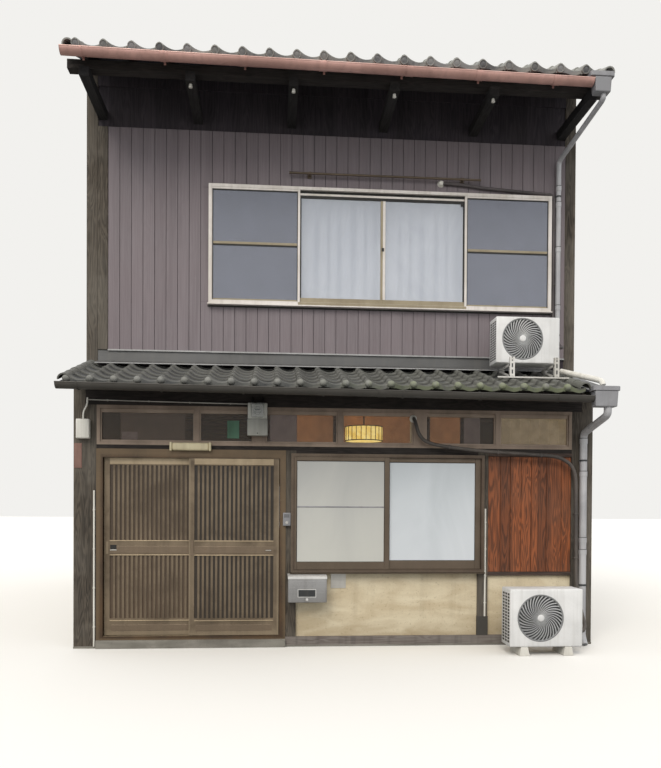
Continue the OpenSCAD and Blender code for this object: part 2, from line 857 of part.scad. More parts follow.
upper_pipe_x = 2.5 * bay - post / 2 + 14;
lower_pipe_x = 2.5 * bay + 50;
pipe_off = foot_out + 2;
elbow_drop = 90;
elbow_wall = 5;
drain_r = 28;
hopper_drop = 130;
main_hopper_w = 240;
pent_hopper_w = 265;

module downpipes() {
    upper_y0 = setback - upper_pipe_r - pipe_off;
    lower_y0 = -lower_pipe_r - pipe_off;
    main_low = main_gutter_z - hopper_drop;
    pent_low = pent_gutter_z - hopper_drop;
    main_x = hopper_x + 150;
    pent_x = hopper_x + 165;
    color("gray") {
        union() {
            hopper(main_hopper_w, main_x, main_gutter_y, [main_low, main_gutter_z + 20]);
            pipe_run([
                [main_x, main_gutter_y, main_low + 5], [main_x, main_gutter_y, main_low - elbow_drop],
                [upper_pipe_x, upper_y0, clad_top - 190], [upper_pipe_x, upper_y0, pent_top(setback) + 110]
            ], upper_pipe_r);
        }
        union() {
            hopper(pent_hopper_w, pent_x, pent_gutter_y, [pent_low, pent_gutter_z + 50]);
            pipe_run([
                [pent_x, pent_gutter_y, pent_low + 5], [pent_x, pent_gutter_y, pent_low - elbow_drop],
                [lower_pipe_x, lower_y0, pent_low - 220], [lower_pipe_x, lower_y0, 0]
            ], lower_pipe_r);
        }
    }
    color("white") pipe_run([
        [upper_unit_x + upper_unit[0] + 37, upper_unit_front + 50, upper_unit_z - 69],
        [pent_x - 35, -pent_out, pent_top(-pent_out) + roll_rise + drain_r]
    ], drain_r);
}

// Outdoor units: a casing with a round fan opening and a guard of swept blades

module unit_casing(w, d, h, fan_x, fan_z, r) {
    difference() {
        block([0, w], [0, d], [0, h]);
        translate([fan_x, -1, fan_z]) rotate([-90, 0, 0]) cylinder(h = 46, r = r);
    }
}

module unit_guard(fan_x, fan_z, r) {
    blades = 24;
    translate([fan_x, 20, fan_z]) rotate([90, 0, 0]) linear_extrude(12) union() {
        difference() {
            circle(r = r);
            circle(r = r - 10);
        }
        circle(r = r * 0.2);
        for (i = [0 : blades - 1]) rotate(i * 360 / blades) intersection() {
            translate([0, r / 2]) difference() {
                circle(r = r / 2 + 2.5);
                circle(r = r / 2 - 2.5);
            }
            square([r, r]);
        }
    }
}

valve_w = 35;
valve_y = [120, 220];
unit_x = 1580;
unit_front = -590;
unit_foot = 85;
foot_w = 100;
foot_in = 90;

module unit_lower() {
    fan_x = 297;
    fan_z = unit_h / 2;
    translate([unit_x, unit_front, unit_foot]) {
        color("whitesmoke") unit_casing(unit_w, unit_d, unit_h, fan_x, fan_z, fan_r);
        color("gray") unit_guard(fan_x, fan_z, fan_r);
        color("gainsboro") for (x = [foot_in, unit_w - foot_in - foot_w]) translate([x, 0, 0])
            facing([-10, unit_d + 10], [
                [0, -unit_foot], [foot_w, -unit_foot], [foot_w * 0.8, 0], [foot_w * 0.2, 0]
            ]);
        color("gainsboro") block([unit_w, unit_w + valve_w], valve_y, [40, 200]);
    }
}

upper_unit = [657, 240, 468];
upper_unit_front = -100;
upper_unit_x = 1573;
upper_unit_z = 2881;
upper_fan_r = 205;
upper_fan = [272, 245];

module unit_upper() {
    translate([upper_unit_x, upper_unit_front, upper_unit_z]) {
        color("whitesmoke")
            unit_casing(upper_unit[0], upper_unit[1], upper_unit[2], upper_fan[0], upper_fan[1], upper_fan_r);
        color("gray") unit_guard(upper_fan[0], upper_fan[1], upper_fan_r);
        color("gainsboro") block([upper_unit[0], upper_unit[0] + valve_w], valve_y, [100, 260]);
    }
}

// The upper unit's stand: a rail across the tile rolls, and two side frames with tall front legs
leg_w = 52;
leg_d = 30;
leg_y = upper_unit_front - 90;
leg_up = 44;
stand_t = 25;

module unit_stand() {
    y_end = upper_unit_front + upper_unit[1] + 40;
    function rests(y) = pent_top(y) + roll_rise;
    color("white") union() {
        for (x = [upper_unit_x + 112, upper_unit_x + 570]) {
            along([x, x + leg_w], [
                [leg_y, rests(leg_y)], [leg_y + leg_d, rests(leg_y + leg_d)],
                [leg_y + leg_d, upper_unit_z + leg_up], [leg_y, upper_unit_z + leg_up]
            ]);
            along([x, x + leg_w], [
                [leg_y, rests(leg_y)], [y_end, rests(y_end)], [y_end, rests(y_end) + stand_t],
                [leg_y, rests(leg_y) + stand_t]
            ]);
            along([x, x + leg_w], [
                [y_end - leg_d, rests(y_end - leg_d)], [y_end, rests(y_end)], [y_end, upper_unit_z],
                [y_end - leg_d, upper_unit_z]
            ]);
            block([x, x + leg_w], [leg_y, y_end], [upper_unit_z - stand_t, upper_unit_z]);
        }
        along([upper_unit_x - 20, upper_unit_x + upper_unit[0] + 60], [
            [leg_y - stand_t, rests(leg_y - stand_t)], [leg_y, rests(leg_y)], [leg_y, rests(leg_y) + stand_t],
            [leg_y - stand_t, rests(leg_y - stand_t) + stand_t]
        ]);
    }
}

// A tube swept along a route, with a ring of points square to the route at each of its points
function unit_vector(v) = v / norm(v);
function route_way(route, i) = unit_vector(route[min(i + 1, len(route) - 1)] - route[max(i - 1, 0)]);
function ring_points(centre, way, r, sides) =
    let (across = unit_vector(cross(way, [0.5, -0.6, 0.62])), up = cross(across, way))
    [for (k = [0 : sides - 1]) centre + r * (cos(k * 360 / sides) * across + sin(k * 360 / sides) * up)];

module tube(route, r, sides = 12) {
    n = len(route);
    rings = [for (i = [0 : n - 1]) each ring_points(route[i], route_way(route, i), r, sides)];
    walls = [for (i = [0 : n - 2], k = [0 : sides - 1]) each let (
        a = i * sides + k, b = i * sides + (k + 1) % sides
    ) [[a, b, b + sides], [a, b + sides, a + sides]]];
    ends = [[for (k = [sides - 1 : -1 : 0]) k], [for (k = [0 : sides - 1]) (n - 1) * sides + k]];
    polyhedron(rings, concat(walls, ends));
}

// Lagged hoses, fixed along the walls
hose_y = -frame_d - 12 - hose_r - 6;
lower_valve = [unit_x + unit_w + valve_w, unit_front + (valve_y[0] + valve_y[1]) / 2, unit_foot + 120];
hose_route = [
    [745, 0, 2310], [745, -30, 2310], [751, -60, 2285], [764, hose_y, 2225], [790, hose_y, 2150], [834, hose_y, 2095],
    [906, hose_y, 2058], [1006, hose_y, 2035], [1439, hose_y, 1985], [1834, hose_y, 1962], [2148, hose_y, 1942],
    [2240, hose_y, 1925], [2306, hose_y, 1895], [2356, hose_y, 1858], [2390, hose_y, 1810], [2410, hose_y, 1750],
    [2418, hose_y, 1680], [2426, hose_y, 1200], [2430, hose_y, 760], [2434, hose_y - 12, 620],
    [2436, hose_y - 60, 480], [2434, hose_y - 140, 360], [2420, hose_y - 230, 280], [2395, hose_y - 300, 232],
    [lower_valve[0] + 30, lower_valve[1], lower_valve[2]], lower_valve
];
upper_hose_y = setback - hose_r;
upper_valve = [
    upper_unit_x + upper_unit[0] + valve_w, upper_unit_front + (valve_y[0] + valve_y[1]) / 2, upper_unit_z + 200
];
// How far the upper hose passes above the window, and how far beside it
upper_hose_over = 26;
hose_top = upper_window_top + upper_hose_over;
hose_side = upper_window_x[1] + 31.5;
upper_hose_route = [
    [1136, upper_hose_y, hose_top + 77], [1340, upper_hose_y, hose_top + 70], [1542, upper_hose_y, hose_top + 49],
    [1820, upper_hose_y, hose_top + 30], [2096, upper_hose_y, hose_top + 14], [2300, upper_hose_y, hose_top + 4],
    [2345, upper_hose_y, hose_top], [2368, upper_hose_y, hose_top - 16], [hose_side, upper_hose_y, hose_top - 46],
    [hose_side, upper_hose_y, hose_top - 136], [hose_side, upper_hose_y, 3560], [hose_side, upper_hose_y - 8, 3440],
    [2376, upper_hose_y - 50, 3330], [2370, upper_hose_y - 130, 3230], [2362, upper_hose_y - 230, 3150],
    [2350, upper_hose_y - 320, 3105], [2330, upper_hose_y - 382, 3088],
    [upper_valve[0] + 35, upper_valve[1], upper_valve[2]], upper_valve
];

module hoses() {
    color("dimgray") {
        tube(hose_route, hose_r);
        tube(upper_hose_route, hose_r);
    }
}

// Small fittings on the front

meter_x = [-930, -730];
meter_z = [transom_z + 95, transom_z + 265, transom_z + 425];
dial_r = 80;

// A wide terminal box, with the meter's body and its round dial above it
module electric_meter() {
    body_d = 80;
    color("silver") union() {
        block(meter_x, [-body_d - 20, 0], [meter_z[0], meter_z[1]]);
        block([meter_x[0] + 10, meter_x[1] - 10], [-body_d, 0], [meter_z[1], meter_z[2]]);
        translate([(meter_x[0] + meter_x[1]) / 2, -body_d, meter_z[2] - 40])
            rotate([90, 0, 0]) cylinder(h = 50, r = dial_r);
    }
}

mailbox_w = 390;
mailbox_h = 282;
mailbox_d = 160;

module mailbox() {
    x = window_x[0] - 31.5;
    top = window_z - 12;
    color("silver") block([x, x + mailbox_w], [-mailbox_d, 0], [top - mailbox_h, top]);
}

// A drum shade under the first floor beam, on a short rod
lamp_x = 369;
lamp_r = 220;
lamp_h = 170;
lamp_hang = 285;

module ceiling_lamp() {
    top = upper_z - floor_t - beam_d;
    centre = [lamp_x, first_beam_y + beam_w / 2];
    color("gold") translate([centre[0], centre[1], top - lamp_hang]) union() {
        translate([0, 0, -lamp_h]) cylinder(h = lamp_h, r = lamp_r);
        cylinder(h = lamp_hang, r = 12);
    }
}

strip_lamp_x = [-1692, -1287];
junction_w = 129;
intercom_w = 78;
intercom_z = [1216, 1351];
conduit_r = 9;
left_conduit_z = [slab_edge, 1560];
right_conduit_z = [380, 1400];
plate_t = 6;
notice_x = [-85, 68];
notice_z = [585, 735];
cover_top = 296;
sign_x = [-1133, -1014];
sign_z = [transom_z + 76, transom_z + 254];
plaque_x = [-half_w + 5, -half_w + 80];
plaque_z = [1780, 2024];
rod_r = 12;
rod_x = [-509, 1547];
rod_z = upper_window_top + 142;
rod_y = setback - 50;
bracket_in = 200;

module conduit(x, z) {
    translate([x, -conduit_r, z[0]]) cylinder(h = z[1] - z[0], r = conduit_r);
}

// The strip lamp over the door, the junction box, the intercom, two conduits, plain plates and a rod over the window
module wall_fittings() {
    post_x = cedar_x[0] - post;
    color("cornsilk") block(strip_lamp_x, [-70, 0], [head_z + 3, head_z + 65]);
    color("white") {
        block([-inner_x - 79, -inner_x - 79 + junction_w], [-70, 0], [transom_z + 50, transom_z + 245]);
        block([door_x[1] - 28, door_x[1] - 28 + intercom_w], [-42, -10], intercom_z);
        conduit(door_x[0] - 20, left_conduit_z);
        conduit(post_x + 74, right_conduit_z);
    }
    color("silver") {
        block(notice_x, [plaster_y[0] - plate_t, plaster_y[0]], notice_z);
        block([post_x - 4, post_x + post + 4], [-plate_t, 0], [sill_top, cover_top]);
    }
    color("seagreen") block(sign_x, [transom_glass_y - plate_t, transom_glass_y], sign_z);
    color("rosybrown") block(plaque_x, [-plate_t, 0], plaque_z);
    color("sienna") union() {
        translate([rod_x[0], rod_y, rod_z]) rotate([0, 90, 0]) cylinder(h = rod_x[1] - rod_x[0], r = rod_r);
        for (x = [rod_x[0] + bracket_in, rod_x[1] - bracket_in])
            block([x, x + strap_w], [rod_y, setback], [rod_z - rod_r, rod_z + rod_r]);
    }
}

ground_slab();
front_sill();
front_posts();
front_beams();
front_plaster();
cedar_panel();
party_wall([-half_w, -inner_x]);  // party_wall_left
party_wall([inner_x, half_w]);  // party_wall_right
door_frame();
door_left();
door_left_glass();
door_right();
door_right_glass();
door_right_handle();
window_lining();
window_frame();
window_sashes();
transom_frames();
front_glass();
floor_beams();
upper_floor();
upper_wall();
upper_cladding();
upper_window_frame();
upper_window_sashes();
upper_window_glass();
upper_curtains();
rear_wall_lower();
rear_wall_upper();
rear_window_frames();
rear_window_glass();
rafters();
roof_boards();
pent_tiles();
pent_flashing();
eave_arms();
purlins();
roof_tiles();
roof_ridge();
gutters();
downpipes();
unit_lower();
unit_upper();
unit_stand();
hoses();
electric_meter();
mailbox();
ceiling_lamp();
wall_fittings();
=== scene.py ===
"""Looks for a two-storey wooden townhouse from a row.

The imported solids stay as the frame. This script gives them their finishes and models what they only stand
in for: pantiles, boards, panes, curtains, gutters, pipes, outdoor units and the small fittings of the front.
X runs to the right along the street front, Y into the house and Z up. Lengths are in metres.
"""

import json
import logging
import math
import random
from dataclasses import dataclass
from enum import Enum
from typing import Any, Callable, Iterable, Sequence

import bmesh
import bpy
from mathutils import Matrix, Vector

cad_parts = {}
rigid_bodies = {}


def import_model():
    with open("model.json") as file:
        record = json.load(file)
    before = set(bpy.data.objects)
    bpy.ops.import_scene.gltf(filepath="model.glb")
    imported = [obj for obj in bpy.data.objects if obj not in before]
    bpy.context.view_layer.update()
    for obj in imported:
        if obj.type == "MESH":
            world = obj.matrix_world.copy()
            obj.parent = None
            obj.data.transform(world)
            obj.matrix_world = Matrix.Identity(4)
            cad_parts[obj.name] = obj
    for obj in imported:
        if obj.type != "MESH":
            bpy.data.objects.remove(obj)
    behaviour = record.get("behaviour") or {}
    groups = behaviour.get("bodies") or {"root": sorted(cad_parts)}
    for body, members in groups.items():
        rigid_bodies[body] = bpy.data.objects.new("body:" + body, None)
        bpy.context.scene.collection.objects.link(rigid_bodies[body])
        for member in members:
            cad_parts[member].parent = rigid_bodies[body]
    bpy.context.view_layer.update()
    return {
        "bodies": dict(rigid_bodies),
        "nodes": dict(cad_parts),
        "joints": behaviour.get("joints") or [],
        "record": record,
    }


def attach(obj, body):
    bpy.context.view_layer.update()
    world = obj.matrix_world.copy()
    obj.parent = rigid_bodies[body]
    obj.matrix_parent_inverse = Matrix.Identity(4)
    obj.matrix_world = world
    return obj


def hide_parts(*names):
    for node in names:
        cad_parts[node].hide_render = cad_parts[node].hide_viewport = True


log = logging.getLogger("townhouse")

Point = tuple[float, float, float]
Box = tuple[Point, Point]
Span = tuple[float, float]
Thing = bpy.types.Object
Socket = bpy.types.NodeSocket


class Axis(Enum):
    """A direction of the house."""

    X = 0
    Y = 1
    Z = 2


class Body(Enum):
    """The bodies that pieces ride on."""

    HOUSE = "house"
    LEFT_DOOR = "door_left"
    RIGHT_DOOR = "door_right"


@dataclass(frozen=True)
class House:
    """The main lines of the house, the same as the solids have them."""

    inner_x: float = 2.515
    half_w: float = 2.630
    ridge_y: float = 4.190
    ridge_gap: float = 0.060
    window_x: Span = (-0.4925, 1.4775)
    upper_window_x: Span = (-1.3625, 2.3475)
    upper_window_z: Span = (3.555, 4.810)
    pent_slope: float = 0.31
    roof_slope: float = 0.45
    pent_out: float = 0.500
    pent_run: float = 0.992
    pent_right: float = 2.361
    pent_roll: float = 0.0691
    pent_low: float = 2.493
    pent_rafter: float = 0.045
    eave_y: float = -0.360
    purlin_y: float = -0.200
    purlin_z: float = 5.650
    roof_rafter: float = 0.065
    board_t: float = 0.012

    def pent_top(self, y: float) -> float:
        """Give the height of the pent roof's boards at a depth."""
        return self.pent_low + self.pent_slope * (y + self.pent_out) + self.pent_rafter + self.board_t

    def roof_top(self, y: float) -> float:
        """Give the height of the main roof's boards at a depth of the front slope."""
        return self.purlin_z + self.roof_slope * (y - self.purlin_y) + self.roof_rafter + self.board_t


HOUSE = House()


def tone(code: str) -> tuple[float, float, float, float]:
    """Turn a colour as a screen shows it into linear light.

    Args:
        code: The colour as six hexadecimal digits.

    Returns:
        Red, green, blue and alpha.
    """
    channels = [int(code[i : i + 2], 16) / 255 for i in (0, 2, 4)]
    linear = [c / 12.92 if c <= 0.04045 else ((c + 0.055) / 1.055) ** 2.4 for c in channels]
    return (linear[0], linear[1], linear[2], 1.0)


class Bench:
    """Builds one node tree: adds nodes, sets their sockets and joins them."""

    def __init__(self, tree: bpy.types.NodeTree) -> None:
        """Start on a material's or a group's tree."""
        self.tree = tree

    def feed(self, value: Any, socket: Socket) -> None:
        """Link a socket to another one, or set its plain value.

        Args:
            value: An output socket, or a number, vector or colour.
            socket: The input socket.
        """
        if isinstance(value, bpy.types.NodeSocket):
            self.tree.links.new(value, socket)
        else:
            socket.default_value = value

    def add(self, kind: str, sockets: dict[Any, Any] | None = None, **settings: Any) -> bpy.types.Node:
        """Add a shader node.

        Args:
            kind: The node's type without its prefix.
            sockets: Values or links by the input's name or number.
            settings: The node's own settings.

        Returns:
            The node.
        """
        node = self.tree.nodes.new("ShaderNode" + kind)
        for name, value in settings.items():
            setattr(node, name, value)
        for name, value in (sockets or {}).items():
            self.feed(value, node.inputs[name])
        return node

    def place(self) -> Socket:
        """Give the object's coordinates, which are the house's own."""
        return self.add("TexCoord").outputs["Object"]

    def along(self, vector: Socket, grain: Axis) -> Socket:
        """Turn coordinates so that their third part runs along the grain.

        Args:
            vector: The coordinates.
            grain: The direction of the grain.

        Returns:
            The turned coordinates.
        """
        parts = self.add("SeparateXYZ", {0: vector}).outputs
        order = {Axis.X: (1, 2, 0), Axis.Y: (0, 2, 1), Axis.Z: (0, 1, 2)}[grain]
        return self.add("CombineXYZ", {i: parts[k] for i, k in enumerate(order)}).outputs[0]

    def part(self, vector: Socket, axis: Axis) -> Socket:
        """Give one part of a vector."""
        return self.add("SeparateXYZ", {0: vector}).outputs[axis.value]

    def math(self, how: str, a: Any, b: Any = 0.0) -> Socket:
        """Work out an operation, named as Blender names it, on two values."""
        return self.add("Math", {0: a, 1: b}, operation=how).outputs[0]

    def times(self, a: Any, b: Any) -> Socket:
        """Multiply two values."""
        return self.math("MULTIPLY", a, b)

    def plus(self, a: Any, b: Any) -> Socket:
        """Add two values."""
        return self.math("ADD", a, b)

    def most(self, a: Any, b: Any) -> Socket:
        """Give the greater of two values."""
        return self.math("MAXIMUM", a, b)

    def scaled(self, vector: Any, by: Any) -> Socket:
        """Multiply a vector part by part."""
        return self.add("VectorMath", {0: vector, 1: by}, operation="MULTIPLY").outputs[0]

    def noise(
        self, vector: Any, scale: float, detail: float = 2.0, rough: float = 0.5, twist: float = 0.0
    ) -> Socket:
        """Add a noise texture with its octaves, how strong the fine ones are, and its distortion."""
        named = {"Vector": vector, "Scale": scale, "Detail": detail, "Roughness": rough, "Distortion": twist}
        return self.add("TexNoise", named).outputs["Fac"]

    def between(self, value: Any, low: float, high: float, first: float = 0.0, last: float = 1.0) -> Socket:
        """Map the range of a value from low to high smoothly onto the range from first to last."""
        sockets = {0: value, 1: low, 2: high, 3: first, 4: last}
        return self.add("MapRange", sockets, interpolation_type="SMOOTHSTEP").outputs[0]

    def mix(self, share: Any, a: Any, b: Any) -> Socket:
        """Mix two colours by the share of the second."""
        return self.add("Mix", {0: share, 6: a, 7: b}, data_type="RGBA", blend_type="MIX").outputs[2]

    def shaded(self, colour: Any, value: Any) -> Socket:
        """Multiply a colour by a value."""
        return self.add("VectorMath", {0: colour, 3: value}, operation="SCALE").outputs[0]

    def bump(self, height: Any, distance: float) -> Socket:
        """Turn a height into a normal; the distance is how deep its full range is, in metres."""
        return self.add("Bump", {"Height": height, "Distance": distance, "Strength": 1.0}).outputs[0]

    def attribute(self, name: str) -> Socket:
        """Read an attribute of the mesh."""
        return self.add("Attribute", attribute_name=name).outputs["Fac"]

    def marks(self, place: Socket, size: float) -> bpy.types.NodeOutputs:
        """Place the marks that weather leaves, finer with a greater size."""
        return self.group(weather_group(), {"Vector": place, "Size": size})

    def group(self, tree: bpy.types.NodeTree, sockets: dict[str, Any]) -> bpy.types.NodeOutputs:
        """Place a node group.

        Args:
            tree: The group's tree.
            sockets: Its inputs by name.

        Returns:
            Its outputs.
        """
        node = self.add("Group")
        node.node_tree = tree
        for name, value in sockets.items():
            self.feed(value, node.inputs[name])
        return node.outputs


def fresh_bench(data: bpy.types.Material | bpy.types.World) -> Bench:
    """Clear the nodes of a material or a world and give a bench for them.

    Args:
        data: The material or world.

    Returns:
        The bench.
    """
    data.use_nodes = True
    data.node_tree.nodes.clear()
    return Bench(data.node_tree)


def new_group(
    name: str, inputs: dict[str, Any], outputs: Sequence[str], fill: Callable[[Bench, Any], Sequence[Socket]]
) -> bpy.types.NodeTree:
    """Build a shader node group once, and give the same one after that.

    Args:
        name: The group's name.
        inputs: Each input's name and its default; None makes it a vector.
        outputs: The names of its outputs, which are values.
        fill: Takes the bench and the input sockets, and gives the output sockets in order.

    Returns:
        The group's tree.
    """
    tree = bpy.data.node_groups.get(name)
    if tree:
        return tree
    tree = bpy.data.node_groups.new(name, "ShaderNodeTree")
    for label, value in inputs.items():
        kind = "NodeSocketVector" if value is None else "NodeSocketFloat"
        socket = tree.interface.new_socket(label, in_out="INPUT", socket_type=kind)
        if value is not None:
            socket.default_value = value
    for label in outputs:
        tree.interface.new_socket(label, in_out="OUTPUT", socket_type="NodeSocketFloat")
    start = tree.nodes.new("NodeGroupInput")
    end = tree.nodes.new("NodeGroupOutput")
    for socket, value in zip(end.inputs, fill(Bench(tree), start.outputs)):
        tree.links.new(value, socket)
    return tree


def draw_grain(bench: Bench, given: Any) -> Sequence[Socket]:
    """Draw growth rings that wander, and the fine fibre between them.

    Args:
        bench: The group's bench.
        given: The group's inputs.

    Returns:
        The rings, the fibre and the figure.
    """
    size = bench.add("CombineXYZ", {0: given["Across"], 1: given["Across"], 2: given["Along"]}).outputs[0]
    push = bench.add("CombineXYZ", {0: given["Shift"], 1: given["Shift"], 2: given["Shift"]}).outputs[0]
    moved = bench.add("VectorMath", {0: given["Vector"], 1: push}, operation="ADD").outputs[0]
    vector = bench.scaled(moved, size)
    figure = bench.noise(vector, 1.0, 2.0, 0.45, 0.6)
    rings = bench.between(bench.math("SINE", bench.times(figure, 70.0)), -1.0, 1.0)
    fibre = bench.noise(bench.scaled(vector, (22.0, 22.0, 1.6)), 1.0, 3.0, 0.6)
    return rings, fibre, figure


def tell_boards(bench: Bench, given: Any) -> Sequence[Socket]:
    """Count the boards and give each its own value.

    Args:
        bench: The group's bench.
        given: The group's inputs.

    Returns:
        The board's own value and its number.
    """
    far = bench.math("SUBTRACT", given["Place"], given["Start"])
    count = bench.math("FLOOR", bench.math("DIVIDE", far, given["Pitch"]))
    own = bench.add("TexWhiteNoise", {"W": count}, noise_dimensions="1D").outputs["Value"]
    return own, count


def draw_weather(bench: Bench, given: Any) -> Sequence[Socket]:
    """Draw blotches, runs down the wall and specks.

    Args:
        bench: The group's bench.
        given: The group's inputs.

    Returns:
        The blotches, the runs and the specks.
    """
    vector = bench.shaded(given["Vector"], given["Size"])
    blotch = bench.between(bench.noise(vector, 1.3, 4.0, 0.6, 0.3), 0.36, 0.66)
    run = bench.between(bench.noise(bench.scaled(vector, (11.0, 11.0, 0.5)), 1.0, 3.0, 0.55), 0.42, 0.72)
    speck = bench.between(bench.noise(vector, 60.0, 2.0, 0.6), 0.60, 0.72)
    return blotch, run, speck


def find_edges(bench: Bench, given: Any) -> Sequence[Socket]:
    """Read how far the surface stands out, broken up by noise.

    Args:
        bench: The group's bench.
        given: The group's inputs.

    Returns:
        The worn edges, and the hollows that the finishes darken.
    """
    point = bench.add("NewGeometry").outputs["Pointiness"]
    rough = bench.noise(given["Vector"], 90.0, 2.0, 0.6)
    broken = bench.plus(point, bench.times(bench.math("SUBTRACT", rough, 0.5), 0.06))
    return bench.between(broken, 0.52, 0.58), bench.between(broken, 0.48, 0.42)


def grain_group() -> bpy.types.NodeTree:
    """Give the group for wood grain, which runs along the third part of its vector."""
    inputs = {"Vector": None, "Shift": 0.0, "Across": 9.0, "Along": 0.9}
    return new_group("wood_grain", inputs, ("Rings", "Fibre", "Figure"), draw_grain)


def board_group() -> bpy.types.NodeTree:
    """Give the group that tells boards apart by their place."""
    inputs = {"Place": 0.0, "Pitch": 0.12, "Start": 0.0}
    return new_group("board_shade", inputs, ("Shade", "Count"), tell_boards)


def weather_group() -> bpy.types.NodeTree:
    """Give the group for the marks that weather leaves."""
    return new_group("weather_marks", {"Vector": None, "Size": 1.0}, ("Blotch", "Run", "Speck"), draw_weather)


def edge_group() -> bpy.types.NodeTree:
    """Give the group that finds worn edges and hollows."""
    return new_group("edge_wear", {"Vector": None}, ("Edge", "Corner"), find_edges)


@dataclass(frozen=True)
class Finish:
    """A finish of the house; each kind wires its own nodes."""

    name: str
    light: str
    dark: str
    rough: float = 0.7

    def material(self) -> bpy.types.Material:
        """Build the material once, and give the same one after that."""
        made = bpy.data.materials.get(self.name)
        if made:
            return made
        made = bpy.data.materials.new(self.name)
        bench = fresh_bench(made)
        shader = bench.add("BsdfPrincipled", {"Roughness": self.rough, **self.wire(bench, bench.place())})
        bench.feed(shader.outputs[0], bench.add("OutputMaterial").inputs["Surface"])
        return made

    def wire(self, bench: Bench, place: Socket) -> dict[str, Any]:
        """Wire the finish's own nodes and give what feeds the Principled BSDF, by its inputs' names."""
        raise NotImplementedError


@dataclass(frozen=True)
class Wood(Finish):
    """Bare or painted wood: its grain, its boards and its weather."""

    grain: Axis = Axis.Z
    across: Axis = Axis.X
    pitch: float = 1.0
    start: float = 0.0
    spread: float = 0.25
    rings: float = 0.5
    ring_size: float = 9.0
    grey: str = "8b8784"
    greyed: float = 0.15
    runs: float = 0.25
    depth: float = 0.0012

    def wire(self, bench: Bench, place: Socket) -> dict[str, Any]:
        """Mix rings, fibre, board shades and runs.

        Args:
            bench: The material's bench.
            place: The coordinates on the house.

        Returns:
            The shader's inputs.
        """
        boards = bench.group(board_group(), {
            "Place": bench.part(place, self.across), "Pitch": self.pitch, "Start": self.start,
        })
        grain = bench.group(grain_group(), {
            "Vector": bench.along(place, self.grain), "Shift": bench.times(boards["Count"], 3.7),
            "Across": self.ring_size, "Along": self.ring_size * 0.09,
        })
        marks = bench.marks(place, 1.0)
        fibre = bench.times(grain["Fibre"], 1.1 - self.rings)
        share = bench.plus(bench.times(grain["Rings"], self.rings * 0.75), fibre)
        colour = bench.mix(bench.between(share, 0.12, 0.85), tone(self.dark), tone(self.light))
        colour = bench.mix(bench.times(marks["Blotch"], self.greyed), colour, tone(self.grey))
        shade = bench.between(boards["Shade"], 0.0, 1.0, 1.0 - self.spread, 1.0 + self.spread * 0.6)
        run = bench.between(marks["Run"], 0.0, 1.0, 1.0, 1.0 - self.runs)
        height = bench.plus(bench.times(grain["Rings"], self.rings), grain["Fibre"])
        return {
            "Base Color": bench.shaded(colour, bench.times(shade, run)),
            "Roughness": bench.between(share, 0.1, 0.9, self.rough + 0.12, self.rough - 0.08),
            "Normal": bench.bump(height, self.depth),
        }


@dataclass(frozen=True)
class Metal(Finish):
    """Painted, anodised or bare sheet and rolled metal."""

    metallic: float = 0.0
    dirt: str = "5a5046"
    dirty: float = 0.35
    worn: str = "b9b4ab"
    wear: float = 0.3
    brushed: float = 0.0
    brush: Axis = Axis.X
    depth: float = 0.0003

    def wire(self, bench: Bench, place: Socket) -> dict[str, Any]:
        """Mix the paint with dirt in runs and specks, darker hollows and worn edges.

        Args:
            bench: The material's bench.
            place: The coordinates on the house.

        Returns:
            The shader's inputs.
        """
        marks = bench.marks(place, 1.6)
        edges = bench.group(edge_group(), {"Vector": place})
        fine = bench.noise(bench.scaled(bench.along(place, self.brush), (260.0, 260.0, 3.0)), 1.0, 2.0)
        colour = bench.mix(marks["Blotch"], tone(self.light), tone(self.dark))
        dirt = bench.times(bench.most(marks["Run"], edges["Corner"]), self.dirty)
        colour = bench.mix(dirt, colour, tone(self.dirt))
        colour = bench.mix(bench.times(marks["Speck"], self.dirty * 0.6), colour, tone(self.dirt))
        colour = bench.mix(bench.times(edges["Edge"], self.wear), colour, tone(self.worn))
        brushed = bench.between(fine, 0.2, 0.8, 1.0 - self.brushed, 1.0 + self.brushed)
        height = bench.plus(fine, bench.times(marks["Speck"], 0.6))
        return {
            "Base Color": bench.shaded(colour, brushed),
            "Metallic": self.metallic,
            "Roughness": bench.between(marks["Blotch"], 0.0, 1.0, self.rough - 0.06, self.rough + 0.12),
            "Normal": bench.bump(height, self.depth),
        }


@dataclass(frozen=True)
class Plaster(Finish):
    """Earth plaster, mortar and concrete."""

    stain: str = "6f6250"
    stained: float = 0.5
    foot: Span = (0.02, 0.30)
    grit: float = 160.0
    depth: float = 0.0016

    def wire(self, bench: Bench, place: Socket) -> dict[str, Any]:
        """Mix trowel marks, grit and the damp that climbs from the foot.

        Args:
            bench: The material's bench.
            place: The coordinates on the house.

        Returns:
            The shader's inputs.
        """
        marks = bench.marks(place, 0.9)
        grit = bench.noise(place, self.grit, 4.0, 0.65)
        trowel = bench.noise(bench.scaled(place, (2.2, 2.2, 7.0)), 1.0, 4.0, 0.55, 0.5)
        colour = bench.mix(bench.between(trowel, 0.3, 0.7), tone(self.light), tone(self.dark))
        low = bench.between(bench.part(place, Axis.Z), *self.foot, 1.0, 0.0)
        wet = bench.most(low, bench.times(marks["Run"], 0.5))
        damp = bench.times(wet, bench.between(trowel, 0.25, 0.6, 0.4, 1.0))
        colour = bench.mix(bench.times(damp, self.stained), colour, tone(self.stain))
        colour = bench.mix(bench.times(marks["Speck"], 0.35), colour, tone(self.stain))
        return {
            "Base Color": bench.shaded(colour, bench.between(grit, 0.25, 0.75, 0.93, 1.05)),
            "Normal": bench.bump(bench.plus(grit, bench.times(trowel, 2.0)), self.depth),
        }


